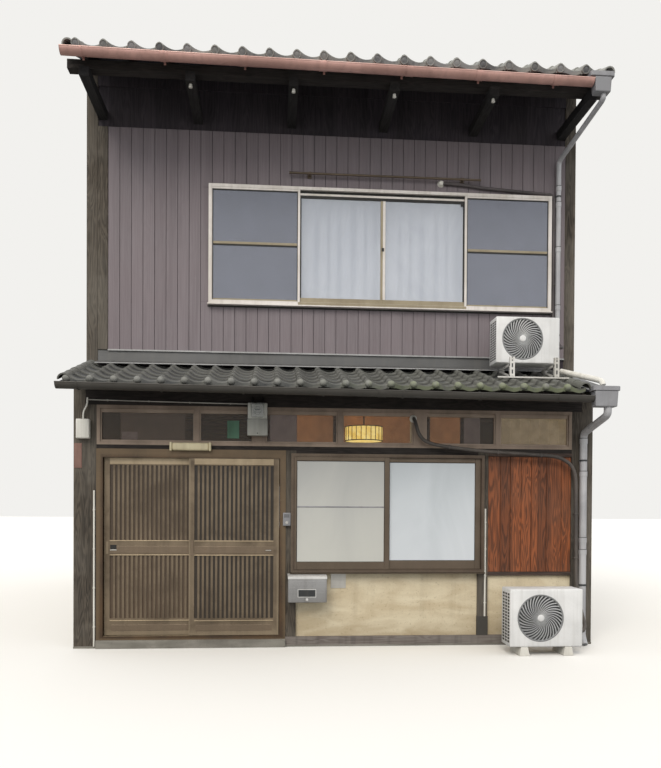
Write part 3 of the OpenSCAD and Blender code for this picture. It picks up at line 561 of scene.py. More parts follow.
@dataclass(frozen=True)
class Clay(Finish):
    """Fired clay tiles with a smoky skin, lichen and moss."""

    moss: str = "6c7358"
    mossy: Span = (9.0, 10.0)
    lichen: str = "a9a9a2"
    depth: float = 0.0009

    def wire(self, bench: Bench, place: Socket) -> dict[str, Any]:
        """Give each tile its own tone, painted shade under the next course, pale edges, lichen specks and
        moss to the right.

        Args:
            bench: The material's bench.
            place: The coordinates on the house.

        Returns:
            The shader's inputs.
        """
        marks = bench.marks(place, 2.4)
        edges = bench.group(edge_group(), {"Vector": place})
        skin = bench.noise(place, 26.0, 4.0, 0.6, 0.4)
        own = bench.between(bench.plus(skin, bench.times(bench.attribute("shade"), 0.7)), 0.4, 1.15)
        colour = bench.mix(own, tone(self.dark), tone(self.light))
        for spot, much in ((marks["Blotch"], 0.35), (edges["Edge"], 0.55), (marks["Speck"], 0.5)):
            colour = bench.mix(bench.times(spot, much), colour, tone(self.lichen))
        side = bench.between(bench.part(place, Axis.X), *self.mossy)
        patch = bench.between(bench.noise(place, 7.0, 5.0, 0.7), 0.36, 0.58)
        # The dim attribute is painted shade on each tile's upper part; on the eave lips and caps it is
        # negative and lightens them to their own paler tone.
        dim = bench.attribute("dim")
        moss = bench.times(side, bench.times(patch, bench.between(dim, -0.2, 0.0, 1.0, 0.15)))
        colour = bench.mix(bench.times(moss, 0.75), colour, tone(self.moss))
        return {
            "Base Color": bench.shaded(colour, bench.math("SUBTRACT", 1.0, dim)),
            "Roughness": bench.between(moss, 0.0, 1.0, self.rough, 0.95),
            "Normal": bench.bump(bench.plus(skin, bench.times(moss, 1.5)), self.depth),
        }


@dataclass(frozen=True)
class Glass(Finish):
    """Window glass, clear or frosted."""

    clear: float = 0.5
    haze: float = 0.3
    ripple: float = 0.0004
    tall: Span = (0.0, 1.0)

    def wire(self, bench: Bench, place: Socket) -> dict[str, Any]:
        """Mix two tones down the pane, smears and a faint ripple.

        Args:
            bench: The material's bench.
            place: The coordinates on the house.

        Returns:
            The shader's inputs.
        """
        smear = bench.noise(bench.scaled(place, (1.6, 1.6, 0.7)), 1.0, 4.0, 0.55, 0.8)
        high = bench.between(bench.part(place, Axis.Z), *self.tall)
        share = bench.between(bench.plus(bench.times(high, 0.6), smear), 0.35, 1.2)
        return {
            "Base Color": bench.mix(share, tone(self.light), tone(self.dark)),
            "IOR": 1.5,
            "Alpha": bench.between(smear, 0.3, 0.7, 1.0 - self.clear + self.haze * 0.3, 1.0 - self.clear),
            "Roughness": bench.between(smear, 0.3, 0.7, self.rough, self.rough + 0.08),
            "Normal": bench.bump(bench.noise(place, 9.0, 2.0), self.ripple),
        }


@dataclass(frozen=True)
class Plastic(Finish):
    """Moulded and painted casings, pipes and lagging tape."""

    dirt: str = "7b7466"
    dirty: float = 0.3
    wrap: float = 0.0

    def wire(self, bench: Bench, place: Socket) -> dict[str, Any]:
        """Mix the plain colour with dust, runs, darker hollows and an orange-peel skin, or the laps of a
        tape.

        Args:
            bench: The material's bench.
            place: The coordinates on the house.

        Returns:
            The shader's inputs.
        """
        marks = bench.marks(place, 2.0)
        edges = bench.group(edge_group(), {"Vector": place})
        colour = bench.mix(marks["Blotch"], tone(self.light), tone(self.dark))
        dirt = bench.most(bench.times(marks["Run"], 0.8), edges["Corner"])
        dirt = bench.times(bench.most(dirt, bench.times(marks["Speck"], 0.7)), self.dirty)
        height, depth = bench.noise(place, 420.0, 2.0, 0.5), 0.00025
        if self.wrap > 0:
            lap = bench.math("FRACT", bench.math("DIVIDE", bench.attribute("run"), self.wrap))
            height, depth = bench.plus(bench.times(height, 0.2), lap), 0.0012
        return {
            "Base Color": bench.mix(dirt, colour, tone(self.dirt)),
            "Roughness": bench.between(dirt, 0.0, 0.6, self.rough, self.rough + 0.25),
            "Normal": bench.bump(height, depth),
        }


@dataclass(frozen=True)
class Cloth(Finish):
    """Curtain cloth and fly-screen mesh."""

    weave: float = 0.0009
    seen_through: float = 0.0

    def wire(self, bench: Bench, place: Socket) -> dict[str, Any]:
        """Draw the weave across the cloth, painted shade in its folds' hollows and under its head, and its
        stains, with a soft sheen.

        Args:
            bench: The material's bench.
            place: The coordinates on the house.

        Returns:
            The shader's inputs.
        """
        marks = bench.noise(place, 5.0, 3.0, 0.6)
        turns = math.tau / self.weave / 8
        threads = bench.scaled(place, (turns, 1.0, turns))
        net = bench.times(*(bench.math("SINE", bench.part(threads, axis)) for axis in (Axis.X, Axis.Z)))
        stain = bench.times(bench.between(marks, 0.3, 0.7), 0.35)
        # The fold attribute is painted shade in the folds' hollows and under the head; the stains are real
        # marks.
        share = bench.most(bench.between(bench.attribute("fold"), 0.2, 0.95), stain)
        colour = bench.mix(share, tone(self.light), tone(self.dark))
        wired = {
            "Base Color": bench.shaded(colour, bench.between(net, -1.0, 1.0, 0.94, 1.03)),
            "Sheen Weight": 0.3,
            "Sheen Roughness": 0.5,
            "Normal": bench.bump(net, 0.0002),
        }
        if self.seen_through > 0:
            wired["Alpha"] = bench.between(net, -1.0, 1.0, 1.0 - self.seen_through, 1.0)
        return wired


@dataclass(frozen=True)
class Glow(Finish):
    """A lamp shade lit from inside, or a board that glows with painted light though it is no lamp."""

    power: float = 2.0

    def wire(self, bench: Bench, place: Socket) -> dict[str, Any]:
        """Let the surface glow, a little unevenly.

        Args:
            bench: The material's bench.
            place: The coordinates on the house.

        Returns:
            The shader's inputs.
        """
        soft = bench.between(bench.noise(place, 14.0, 2.0), 0.3, 0.7)
        colour = bench.mix(soft, tone(self.light), tone(self.dark))
        return {"Base Color": colour, "Emission Color": colour, "Emission Strength": self.power}


def deselect() -> None:
    """Leave nothing selected."""
    for thing in list(bpy.context.selected_objects):
        thing.select_set(False)


def focus(thing: Thing) -> None:
    """Select one object alone and make it active.

    Args:
        thing: The object.
    """
    deselect()
    thing.select_set(True)
    bpy.context.view_layer.objects.active = thing


def settle(thing: Thing, name: str) -> Thing:
    """Put an object's place, turn and size into its mesh.

    Args:
        thing: The object.
        name: A new name for it.

    Returns:
        The object.
    """
    focus(thing)
    bpy.ops.object.transform_apply(location=True, rotation=True, scale=True)
    thing.name = thing.data.name = name
    return thing


def linked(thing: Thing) -> Thing:
    """Put a new object into the scene."""
    bpy.context.scene.collection.objects.link(thing)
    return thing


def twin(thing: Thing) -> Thing:
    """Copy an object together with its mesh.

    Args:
        thing: The object.

    Returns:
        The copy.
    """
    made = thing.copy()
    made.data = thing.data.copy()
    return linked(made)


def join(name: str, parts: Sequence[Thing]) -> Thing:
    """Join objects into one that sits at the origin.

    Args:
        name: The new object's name.
        parts: The objects.

    Returns:
        The joined object.
    """
    bpy.context.view_layer.update()
    focus(parts[0])
    for part in parts[1:]:
        part.select_set(True)
    if len(parts) > 1:
        bpy.ops.object.join()
    return settle(parts[0], name)


def shape(thing: Thing, kind: str, **settings: Any) -> Thing:
    """Add a modifier and apply it.

    Args:
        thing: The object.
        kind: The modifier's type.
        settings: The modifier's settings.

    Returns:
        The object.
    """
    modifier = thing.modifiers.new(kind, kind)
    for name, value in settings.items():
        setattr(modifier, name, value)
    focus(thing)
    bpy.ops.object.modifier_apply(modifier=modifier.name)
    return thing


def round_edges(thing: Thing, width: float, segments: int = 1) -> Thing:
    """Bevel the sharp edges of a piece with so many faces round each."""
    return shape(thing, "BEVEL", width=width, segments=segments, limit_method="ANGLE", angle_limit=0.6)


def smooth(thing: Thing, angle: float = 38.0) -> Thing:
    """Shade a piece smooth, with its sharp edges kept.

    Args:
        thing: The piece.
        angle: The angle, in degrees, past which an edge stays sharp.

    Returns:
        The piece.
    """
    focus(thing)
    bpy.ops.object.shade_smooth_by_angle(angle=math.radians(angle))
    return thing


def outward(thing: Thing) -> Thing:
    """Merge doubled points and turn all faces outwards.

    Args:
        thing: The piece.

    Returns:
        The piece.
    """
    focus(thing)
    bpy.ops.object.mode_set(mode="EDIT")
    bpy.ops.mesh.select_all(action="SELECT")
    bpy.ops.mesh.remove_doubles(threshold=0.00005)
    bpy.ops.mesh.normals_make_consistent(inside=False)
    bpy.ops.object.mode_set(mode="OBJECT")
    return thing


def blocks(name: str, boxes: Sequence[Box], bevel: float = 0.002, segments: int = 1) -> Thing:
    """Make one piece from square-cut blocks with softened edges.

    Args:
        name: The piece's name.
        boxes: The lowest and highest corner of each block.
        bevel: The width of the softened edges.
        segments: How many faces round an edge.

    Returns:
        The piece.
    """
    deselect()
    bpy.ops.mesh.primitive_cube_add(size=1)
    first = bpy.context.object
    parts = [first] + [twin(first) for _ in boxes[1:]]
    for part, (low, high) in zip(parts, boxes):
        part.location = [(a + b) / 2 for a, b in zip(low, high)]
        part.scale = [b - a for a, b in zip(low, high)]
    made = join(name, parts)
    return round_edges(made, bevel, segments) if bevel else made


def rod(name: str, start: Point, end: Point, radius: float, sides: int = 24) -> Thing:
    """Make a straight round rod between two points.

    Args:
        name: The piece's name.
        start: One end's middle.
        end: The other end's middle.
        radius: The radius.
        sides: How many sides the round has.

    Returns:
        The piece.
    """
    a, b = Vector(start), Vector(end)
    deselect()
    bpy.ops.mesh.primitive_cone_add(
        vertices=sides, radius1=radius, radius2=radius, depth=(b - a).length,
        location=(a + b) / 2, rotation=(b - a).to_track_quat("Z", "Y").to_euler(),
    )
    return settle(bpy.context.object, name)


def slab(name: str, outline: Sequence[Span], depth: Span, through: Axis = Axis.Y) -> Thing:
    """Make a piece from an outline that is extruded along an axis.

    Args:
        name: The piece's name.
        outline: Its corners, as X and Z when it goes along Y, Y and Z along X, or X and Y along Z.
        depth: Where it starts and ends along the axis.
        through: The axis.

    Returns:
        The piece.
    """
    order = {Axis.X: (2, 0, 1), Axis.Y: (0, 2, 1), Axis.Z: (0, 1, 2)}[through]
    deselect()
    bpy.ops.mesh.primitive_circle_add(vertices=len(outline), radius=1, fill_type="NGON")
    made = bpy.context.object
    for vertex, (a, b) in zip(made.data.vertices, outline):
        place = (a, b, depth[0])
        vertex.co = [place[i] for i in order]
    way = [0.0, 0.0, 0.0]
    way[through.value] = depth[1] - depth[0]
    bpy.ops.object.mode_set(mode="EDIT")
    bpy.ops.mesh.select_all(action="SELECT")
    bpy.ops.mesh.extrude_region_move(TRANSFORM_OT_translate={"value": way})
    bpy.ops.object.mode_set(mode="OBJECT")
    made.name = made.data.name = name
    return outward(made)


def lathe(name: str, profile: Sequence[Span], centre: Point, axis: Axis = Axis.Y, steps: int = 48) -> Thing:
    """Spin a profile round an axis.

    Args:
        name: The piece's name.
        profile: Radius and distance along the axis of each point.
        centre: Where the axis starts.
        axis: Its direction.
        steps: How many steps the round has.

    Returns:
        The piece.
    """
    deselect()
    bpy.ops.mesh.primitive_circle_add(vertices=len(profile), radius=1, fill_type="NOTHING")
    made = bpy.context.object
    for vertex, (radius, far) in zip(made.data.vertices, profile):
        vertex.co = (radius, 0.0, far)
    ends = {0, len(profile) - 1}
    mesh = bmesh.new()
    mesh.from_mesh(made.data)
    mesh.edges.ensure_lookup_table()
    closing = [edge for edge in mesh.edges if {v.index for v in edge.verts} == ends]
    bmesh.ops.delete(mesh, geom=closing, context="EDGES_FACES")
    mesh.to_mesh(made.data)
    mesh.free()
    shape(made, "SCREW", axis="Z", angle=math.tau, steps=steps, render_steps=steps, use_merge_vertices=True)
    turn = {Axis.X: (0.0, math.pi / 2, 0.0), Axis.Y: (-math.pi / 2, 0.0, 0.0), Axis.Z: (0.0, 0.0, 0.0)}[axis]
    made.rotation_euler = turn
    made.location = centre
    return smooth(outward(settle(made, name)))


def rounded(route: Sequence[Point], radius: float, steps: int = 5) -> list[Point]:
    """Round the corners of a route.

    Args:
        route: Its points.
        radius: How far from a corner its curve starts.
        steps: How many points each curve has.

    Returns:
        The longer list of points.
    """
    made = [Vector(route[0])]
    for before, corner, after in zip(route, route[1:], route[2:]):
        a, b, c = Vector(before), Vector(corner), Vector(after)
        start = b + (a - b).normalized() * min(radius, (a - b).length * 0.45)
        end = b + (c - b).normalized() * min(radius, (c - b).length * 0.45)
        for i in range(steps + 1):
            t = i / steps
            made.append(start * (1 - t) ** 2 + b * (2 * t * (1 - t)) + end * t**2)
    made.append(Vector(route[-1]))
    return [tuple(point) for point in made]


def pipe(name: str, route: Sequence[Point], radius: float, bow: bool = False, sides: int = 3) -> Thing:
    """Make a tube along a route, with the distance along it kept as an attribute.

    Args:
        name: The piece's name.
        route: Its points.
        radius: Its radius.
        bow: Whether the route bends smoothly through its points.
        sides: The curve's bevel resolution.

    Returns:
        The piece.
    """
    curve = bpy.data.curves.new(name, "CURVE")
    curve.dimensions = "3D"
    curve.bevel_depth = radius
    curve.bevel_resolution = sides
    curve.resolution_u = 6
    curve.use_fill_caps = True
    spline = curve.splines.new("BEZIER" if bow else "POLY")
    points = spline.bezier_points if bow else spline.points
    points.add(len(route) - 1)
    for point, place in zip(points, route):
        point.co = place if bow else (*place, 1.0)
        if bow:
            point.handle_left_type = point.handle_right_type = "AUTO"
    focus(linked(bpy.data.objects.new(name, curve)))
    bpy.ops.object.convert(target="MESH")
    made = bpy.context.object
    runs = [0.0]
    for a, b in zip(route, route[1:]):
        runs.append(runs[-1] + (Vector(b) - Vector(a)).length)
    mark(made, "run", [run_at(vertex.co, route, runs) for vertex in made.data.vertices])
    return smooth(settle(made, name), 60)


def run_at(place: Vector, route: Sequence[Point], runs: Sequence[float]) -> float:
    """Find how far along a route the point nearest to a place is.

    Args:
        place: The place.
        route: The route's points.
        runs: How far along the route each of them is.

    Returns:
        The distance from the route's start.
    """
    best, run = 1e9, 0.0
    for i, (a, b) in enumerate(zip(route, route[1:])):
        start, way = Vector(a), Vector(b) - Vector(a)
        share = max(0.0, min(1.0, (place - start).dot(way) / max(way.length_squared, 1e-12)))
        far = (place - (start + way * share)).length
        if far < best:
            best, run = far, runs[i] + way.length * share
    return run


def taper(name: str, low: Box, high: Box, bevel: float) -> Thing:
    """Make a block whose foot and top are different rectangles.

    Args:
        name: The piece's name.
        low: Two opposite corners of the foot.
        high: Two opposite corners of the top.
        bevel: The width of the softened edges.

    Returns:
        The piece.
    """
    deselect()
    bpy.ops.mesh.primitive_cube_add(size=2)
    made = bpy.context.object
    for vertex in made.data.vertices:
        ends = high if vertex.co.z > 0 else low
        side = [0 if part < 0 else 1 for part in vertex.co]
        vertex.co = (ends[side[0]][0], ends[side[1]][1], ends[0][2])
    made.name = made.data.name = name
    return round_edges(made, bevel, 2)


def mark(thing: Thing, name: str, values: Sequence[float]) -> Thing:
    """Keep a value for each point of a piece, which its finish reads by the name."""
    thing.data.attributes.new(name, "FLOAT", "POINT").data.foreach_set("value", values)
    return thing


def grid(name: str, columns: int, rows: int) -> Thing:
    """Add a flat grid from -1 to 1, whose points are then put in place.

    Args:
        name: The piece's name.
        columns: How many faces it has along X.
        rows: How many it has along Y.

    Returns:
        The grid.
    """
    deselect()
    bpy.ops.mesh.primitive_grid_add(x_subdivisions=columns, y_subdivisions=rows, size=2)
    made = bpy.context.object
    made.name = made.data.name = name
    return made


def members(x: Span, y: Span, z: Span, wide: tuple[float, float, float, float]) -> list[Box]:
    """List the members of an upright frame that have some width.

    Args:
        x: Its left and right side.
        y: Its front and back.
        z: Its foot and top.
        wide: How wide its left, right, lower and upper members are.

    Returns:
        The members' boxes.
    """
    left, right, foot, head = wide
    a, b = x[0] + left, x[1] - right
    boxes = [((x[0], y[0], z[0]), (a, y[1], z[1])), ((b, y[0], z[0]), (x[1], y[1], z[1])),
             ((a, y[0], z[0]), (b, y[1], z[0] + foot)), ((a, y[0], z[1] - head), (b, y[1], z[1]))]
    return [box for box, width in zip(boxes, wide) if width > 0]


def flats(y: Span, *faces: tuple[float, float, float, float]) -> list[Box]:
    """List blocks that share their depth from the left, foot, right and top of each."""
    return [((left, y[0], foot), (right, y[1], top)) for left, foot, right, top in faces]


def band(inner: float, outer: float, low: float, high: float) -> list[Span]:
    """List the closed outline of a square-cut ring, for the lathe."""
    return [(inner, low), (outer, low), (outer, high), (inner, high), (inner, low)]


def fit(
    thing: Thing, finish: Finish, body: Body = Body.HOUSE, instead_of: Iterable[str] = ()
) -> Thing:
    """Give a new piece its finish and fix it to a body.

    Args:
        thing: The piece.
        finish: Its finish.
        body: The body that it rides on.
        instead_of: The solids that it stands for.

    Returns:
        The piece.
    """
    thing.data.materials.clear()
    thing.data.materials.append(finish.material())
    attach(thing, body.value)
    if instead_of:
        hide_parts(*instead_of)
    log.info("%s: %d faces, %s", thing.name, len(thing.data.polygons), finish.name)
    return thing


class Shades:
    """Every finish of the house."""

    siding = Wood("siding_boards", "847c81", "726a6f", 0.75, Axis.Z, Axis.X, 0.1190, -2.4100, 0.05, 0.08,
                  10.0, "7a6a6e", 0.15, 0.1, 0.0004)
    dark_posts = Wood("weathered_posts", "5b5247", "2c2722", 0.8, Axis.Z, Axis.X, 0.30, 0.0, 0.1, 0.4, 14.0,
                      "77726a", 0.45, 0.35)
    # The beams, eave timbers and soffit boards are given a tone darker than their wood: painted shade from
    # under the eaves.
    painted_shade_timbers = Wood("painted_shade_timbers", "2a221f", "120f0d", 0.8, Axis.X, Axis.Z, 0.30, 0.0, 0.1, 0.35, 12.0,
                      "44403e", 0.2, 0.2)
    painted_shade_eave_wood = Wood("painted_shade_eave_wood", "1f1c1b", "121010", 0.85, Axis.Y, Axis.X, 0.187, 0.0, 0.2, 0.35, 12.0,
                       "2c2d33", 0.3, 0.1)
    painted_shade_soffit = Wood("painted_shade_soffit", "363845", "23242c", 0.85, Axis.X, Axis.Y, 0.12, 0.0, 0.25, 0.3, 12.0,
                       "3a3d46", 0.35, 0.0)
    upper_frame = Wood("upper_wall_boards", "3f383f", "25222a", 0.8, Axis.Z, Axis.X, 0.16, 0.0, 0.2, 0.3,
                       10.0, "4c4446", 0.2, 0.2)
    sill = Wood("sill_beam", "7f7873", "5f5652", 0.8, Axis.X, Axis.Z, 1.0, -0.5, 0.05, 0.4, 11.0,
                "8d8984", 0.3, 0.25)
    inner = Wood("inner_wood", "b4835a", "7a5236", 0.6, Axis.X, Axis.Y, 0.2, 0.0, 0.15, 0.5, 10.0,
                 "8b7c6c", 0.1, 0.0)
    floor = Wood("floor_boards", "a77f58", "73533a", 0.5, Axis.X, Axis.Y, 0.12, 0.0, 0.2, 0.5, 9.0,
                 "8b7c6c", 0.1, 0.0)
    cedar = Wood("charred_cedar", "97532a", "422211", 0.6, Axis.Z, Axis.X, 0.131, 1.530, 0.3, 0.40, 14.0,
                 "6f5646", 0.2, 0.15, 0.0012)
    rails = Wood("panel_rails", "4b3a33", "2a1f1b", 0.7, Axis.X, Axis.Z, 1.0, -0.5, 0.05, 0.4, 12.0,
                 "5b5048", 0.15, 0.1)
    plaster = Plaster("clay_plaster", "dbd0b6", "c7b89b", 0.9, "8f7d60", 0.45, (0.10, 0.36))
    earth = Plaster("party_wall_render", "a49b8d", "8d8477", 0.92, "615b52", 0.5, (0.0, 0.7), 90.0, 0.003)
    rear_plaster = Plaster("rear_plaster", "cbb996", "b5a280", 0.9, "7d6b51", 0.5, (0.02, 0.6))
    concrete = Plaster("concrete_slab", "8f8c84", "74716a", 0.88, "55514a", 0.4, (-0.02, 0.03), 220.0)
    tiles = Clay("smoked_pantiles", "8b8c8e", "56585b", 0.62)
    pent_tiles = Clay("pent_pantiles", "4c4e50", "2d2f30", 0.68, mossy=(-0.6, 1.2), lichen="7c7c77")
    bronze = Metal("bronze_frame", "5c4834", "433428", 0.42, 0.35, "3c342b", 0.35, "8a7960", 0.35, 0.05)
    bronze_bars = Metal("bronze_lattice", "857662", "625545", 0.42, 0.3, "3c342b", 0.25, "a3947c", 0.4, 0.05,
                        Axis.Z)
    bronze_pale = Metal("bronze_rails", "6f5f50", "584a3d", 0.38, 0.35, "433a30", 0.25, "9c8c76", 0.3, 0.05)
    # A lighter bronze for the doors' ridges and top rails, the threshold's tracks and the sill's edge:
    # painted highlight.
    painted_highlight_bronze = Metal("bronze_painted_highlight", "b09d82", "93826a", 0.36, 0.3, "433a30", 0.2, "c2b295", 0.3, 0.03)
    window_grey = Metal("window_grey", "5e5044", "4a3d33", 0.4, 0.4, "463f35", 0.3, "8b7f6e", 0.25, 0.04)
    transom_bronze = Metal("transom_frame", "8e7d6f", "7a6b5f", 0.42, 0.3, "554a3e", 0.25, "b3a392", 0.25,
                           0.04)
    beige = Metal("beige_frame", "e2ddda", "ccc6c0", 0.4, 0.1, "8f867a", 0.25, "e8e4de", 0.15, 0.01)
    olive = Metal("olive_frame", "9a8f78", "837862", 0.45, 0.1, "6b614f", 0.3, "aba189", 0.2, 0.02)
    sheet = Metal("roof_flashing", "464648", "343436", 0.45, 0.3, "55524d", 0.4, "8a8b8b", 0.35, 0.05)
    edge_strip = Metal("edge_strip", "b0b1b2", "999a9b", 0.4, 0.3, "5c5a56", 0.3, "a3a4a5", 0.25, 0.03)
    copper = Metal("copper_gutter", "d4a69e", "a67f77", 0.42, 0.35, "6e5650", 0.3, "dcb3a9", 0.35, 0.04)
    # The lighter copper of the gutter's rolled lip is a painted highlight.
    copper_painted_highlight = Metal("copper_painted_highlight", "e0b8ae", "bf958b", 0.40, 0.3, "7a615a", 0.25, "ecc9c0", 0.35, 0.03)
    gutter = Metal("brown_gutter", "413f3c", "32302d", 0.5, 0.1, "36332e", 0.3, "67645f", 0.25, 0.02)
    steel = Metal("pale_steel", "c9c7c2", "a9a6a0", 0.35, 0.5, "77726a", 0.3, "dcdad6", 0.2, 0.05)
    steel_light = Metal("bright_steel", "e2e2e1", "cfcfce", 0.35, 0.3, "8a8782", 0.2, "efefee", 0.2, 0.03)
    white_steel = Metal("stand_steel", "e6e6e4", "d3d3d0", 0.45, 0.1, "8a8478", 0.35, "a39a8c", 0.2, 0.02)
    box = Metal("mailbox_steel", "9f9fa0", "888889", 0.35, 0.5, "5e5b57", 0.25, "c4c4c4", 0.3, 0.08)
    casing = Plastic("casing_white", "e7e8e9", "d9dadb", 0.42, "8b867c", 0.2)
    casing_dark = Plastic("slot_dark", "3d4043", "2a2c2e", 0.5, "55524c", 0.3)
    fan = Plastic("fan_grey", "585a5c", "47494b", 0.5, "55524c", 0.25)
    guard = Plastic("guard_grey", "b6b8ba", "9fa1a3", 0.4, "6e6a63", 0.2)
    guard_ring = Plastic("ring_grey", "8a8c8e", "77797b", 0.45, "6e6a63", 0.25)
    black = Plastic("black_rubber", "232323", "161616", 0.6, "4a463f", 0.2)
    grey_pipe = Plastic("grey_pipe", "bcbdc1", "a6a7ac", 0.45, "67635c", 0.25)
    hopper = Plastic("grey_rain_box", "999a9f", "85868b", 0.5, "5e5a54", 0.35)
    hose = Plastic("dark_lagging", "5a5450", "433f3d", 0.6, "413c37", 0.4, wrap=0.032)
    upper_hose = Plastic("brown_lagging", "565052", "413c3e", 0.6, "39342f", 0.3, wrap=0.034)
    white_plastic = Plastic("white_plastic", "e6e5df", "d8d6ce", 0.42, "8d877a", 0.3)
    cream = Plastic("cream_cover", "d8cfae", "c8bd9c", 0.45, "8e836a", 0.3)
    meter = Plastic("meter_grey", "d4d5cf", "c0c1bb", 0.5, "6a6860", 0.3)
    meter_dark = Plastic("meter_dark", "a4a59f", "908f8a", 0.5, "5a5850", 0.35)
    plaque = Plastic("plain_plaque", "8a6a60", "74564d", 0.6, "4c3a33", 0.4)
    green = Plastic("plain_sign", "4f7a63", "41674f", 0.5, "3e4a40", 0.3)
    frosted_left = Glass("frosted_grey", "cbccc7", "b8bab9", 0.28, 0.12, 0.1, 0.0006, (0.8, 1.9))
    frosted_right = Glass("frosted_white", "d9dfe6", "c4ccd3", 0.28, 0.08, 0.1, 0.0006, (0.8, 1.9))
    # The left door's glass is lighter than the right's: a painted reflection.
    door_left_glass = Glass("door_glass_painted_reflection", "5c4c3d", "483b2f", 0.3, 0.06, 0.1, 0.001, (0.3, 1.8))
    door_right_glass = Glass("door_glass_grey", "3c342c", "2e2721", 0.3, 0.06, 0.1, 0.001, (0.3, 1.8))
    clear = Glass("pane_glass", "f2f6ff", "dfe6f2", 0.06, 0.58, 0.2)
    transom = Glass("transom_glass", "6a5d4e", "54483c", 0.08, 0.62, 0.3)
    rear_glass = Glass("rear_glass", "8f979b", "6e767b", 0.1, 0.35, 0.2)
    curtain = Cloth("curtain_cloth", "dee0e8", "7c8297", 0.8)
    screen = Cloth("fly_screen", "8c91a0", "818693", 0.7, 0.0016, 0.75)
    # The boards and walls behind the transoms, listed here, glow with painted light; only the lamp shade
    # below is a lamp.
    painted_glow_beige = Glow("painted_glow_boards", "96856a", "86765c", 0.6, 1.25)
    painted_dim_glow_wall = Glow("painted_dim_glow_wall", "5f5147", "50443c", 0.8, 0.5)
    painted_glow_wall = Glow("painted_glow_wall", "93643f", "835735", 0.8, 1.2)
    meter_glass = Glass("dial_glass", "d5d9da", "b9bfc0", 0.05, 0.75, 0.1)
    pale_wall = Glow("painted_glow_pale_wall", "857672", "756764", 0.8, 0.5)
    lamp_glow = Glow("glowing_shade", "f6dc8a", "e8bf5a", 0.5, 2.5)


def dress_frame(nodes: dict[str, Thing]) -> None:
    """Give the solids that stay in view their finishes.

    Args:
        nodes: The solids by name.
    """
    table: dict[Finish, tuple[str, ...]] = {
        Shades.concrete: ("ground_slab",),
        Shades.sill: ("front_sill",),
        Shades.dark_posts: ("front_posts",),
        Shades.plaster: ("front_plaster",),
        Shades.earth: ("party_wall_left", "party_wall_right"),
        Shades.bronze: ("door_frame",),
        Shades.bronze_bars: ("door_left", "door_right"),
        Shades.door_left_glass: ("door_left_glass",),
        Shades.door_right_glass: ("door_right_glass",),
        Shades.bronze_pale: ("door_right_handle",),
        Shades.window_grey: ("window_frame",),
        Shades.transom_bronze: ("transom_frames",),
        Shades.inner: ("floor_beams",),
        Shades.floor: ("upper_floor",),
        Shades.upper_frame: ("upper_wall",),
        Shades.beige: ("upper_window_frame", "rear_window_frames"),
        Shades.rear_plaster: ("rear_wall_lower",),
        Shades.siding: ("rear_wall_upper",),
        Shades.rear_glass: ("rear_window_glass",),
        Shades.painted_shade_eave_wood: ("rafters", "eave_arms"),
        Shades.painted_shade_soffit: ("roof_boards",),
        Shades.painted_shade_timbers: ("front_beams", "window_lining", "purlins"),
        Shades.sheet: ("pent_flashing",),
    }
    for finish, names in table.items():
        for name in names:
            for place in nodes[name].material_slots:
                place.material = finish.material()
            log.info("%s keeps its shape, %s", name, finish.name)


TILE_WAVE = ((0.0, 0.10), (0.02, 0.55), (0.07, 0.88), (0.14, 1.0), (0.21, 0.92), (0.28, 0.70), (0.36, 0.47),
             (0.46, 0.25), (0.58, 0.08), (0.70, 0.0), (0.82, 0.03), (0.92, 0.12), (1.0, 0.25))


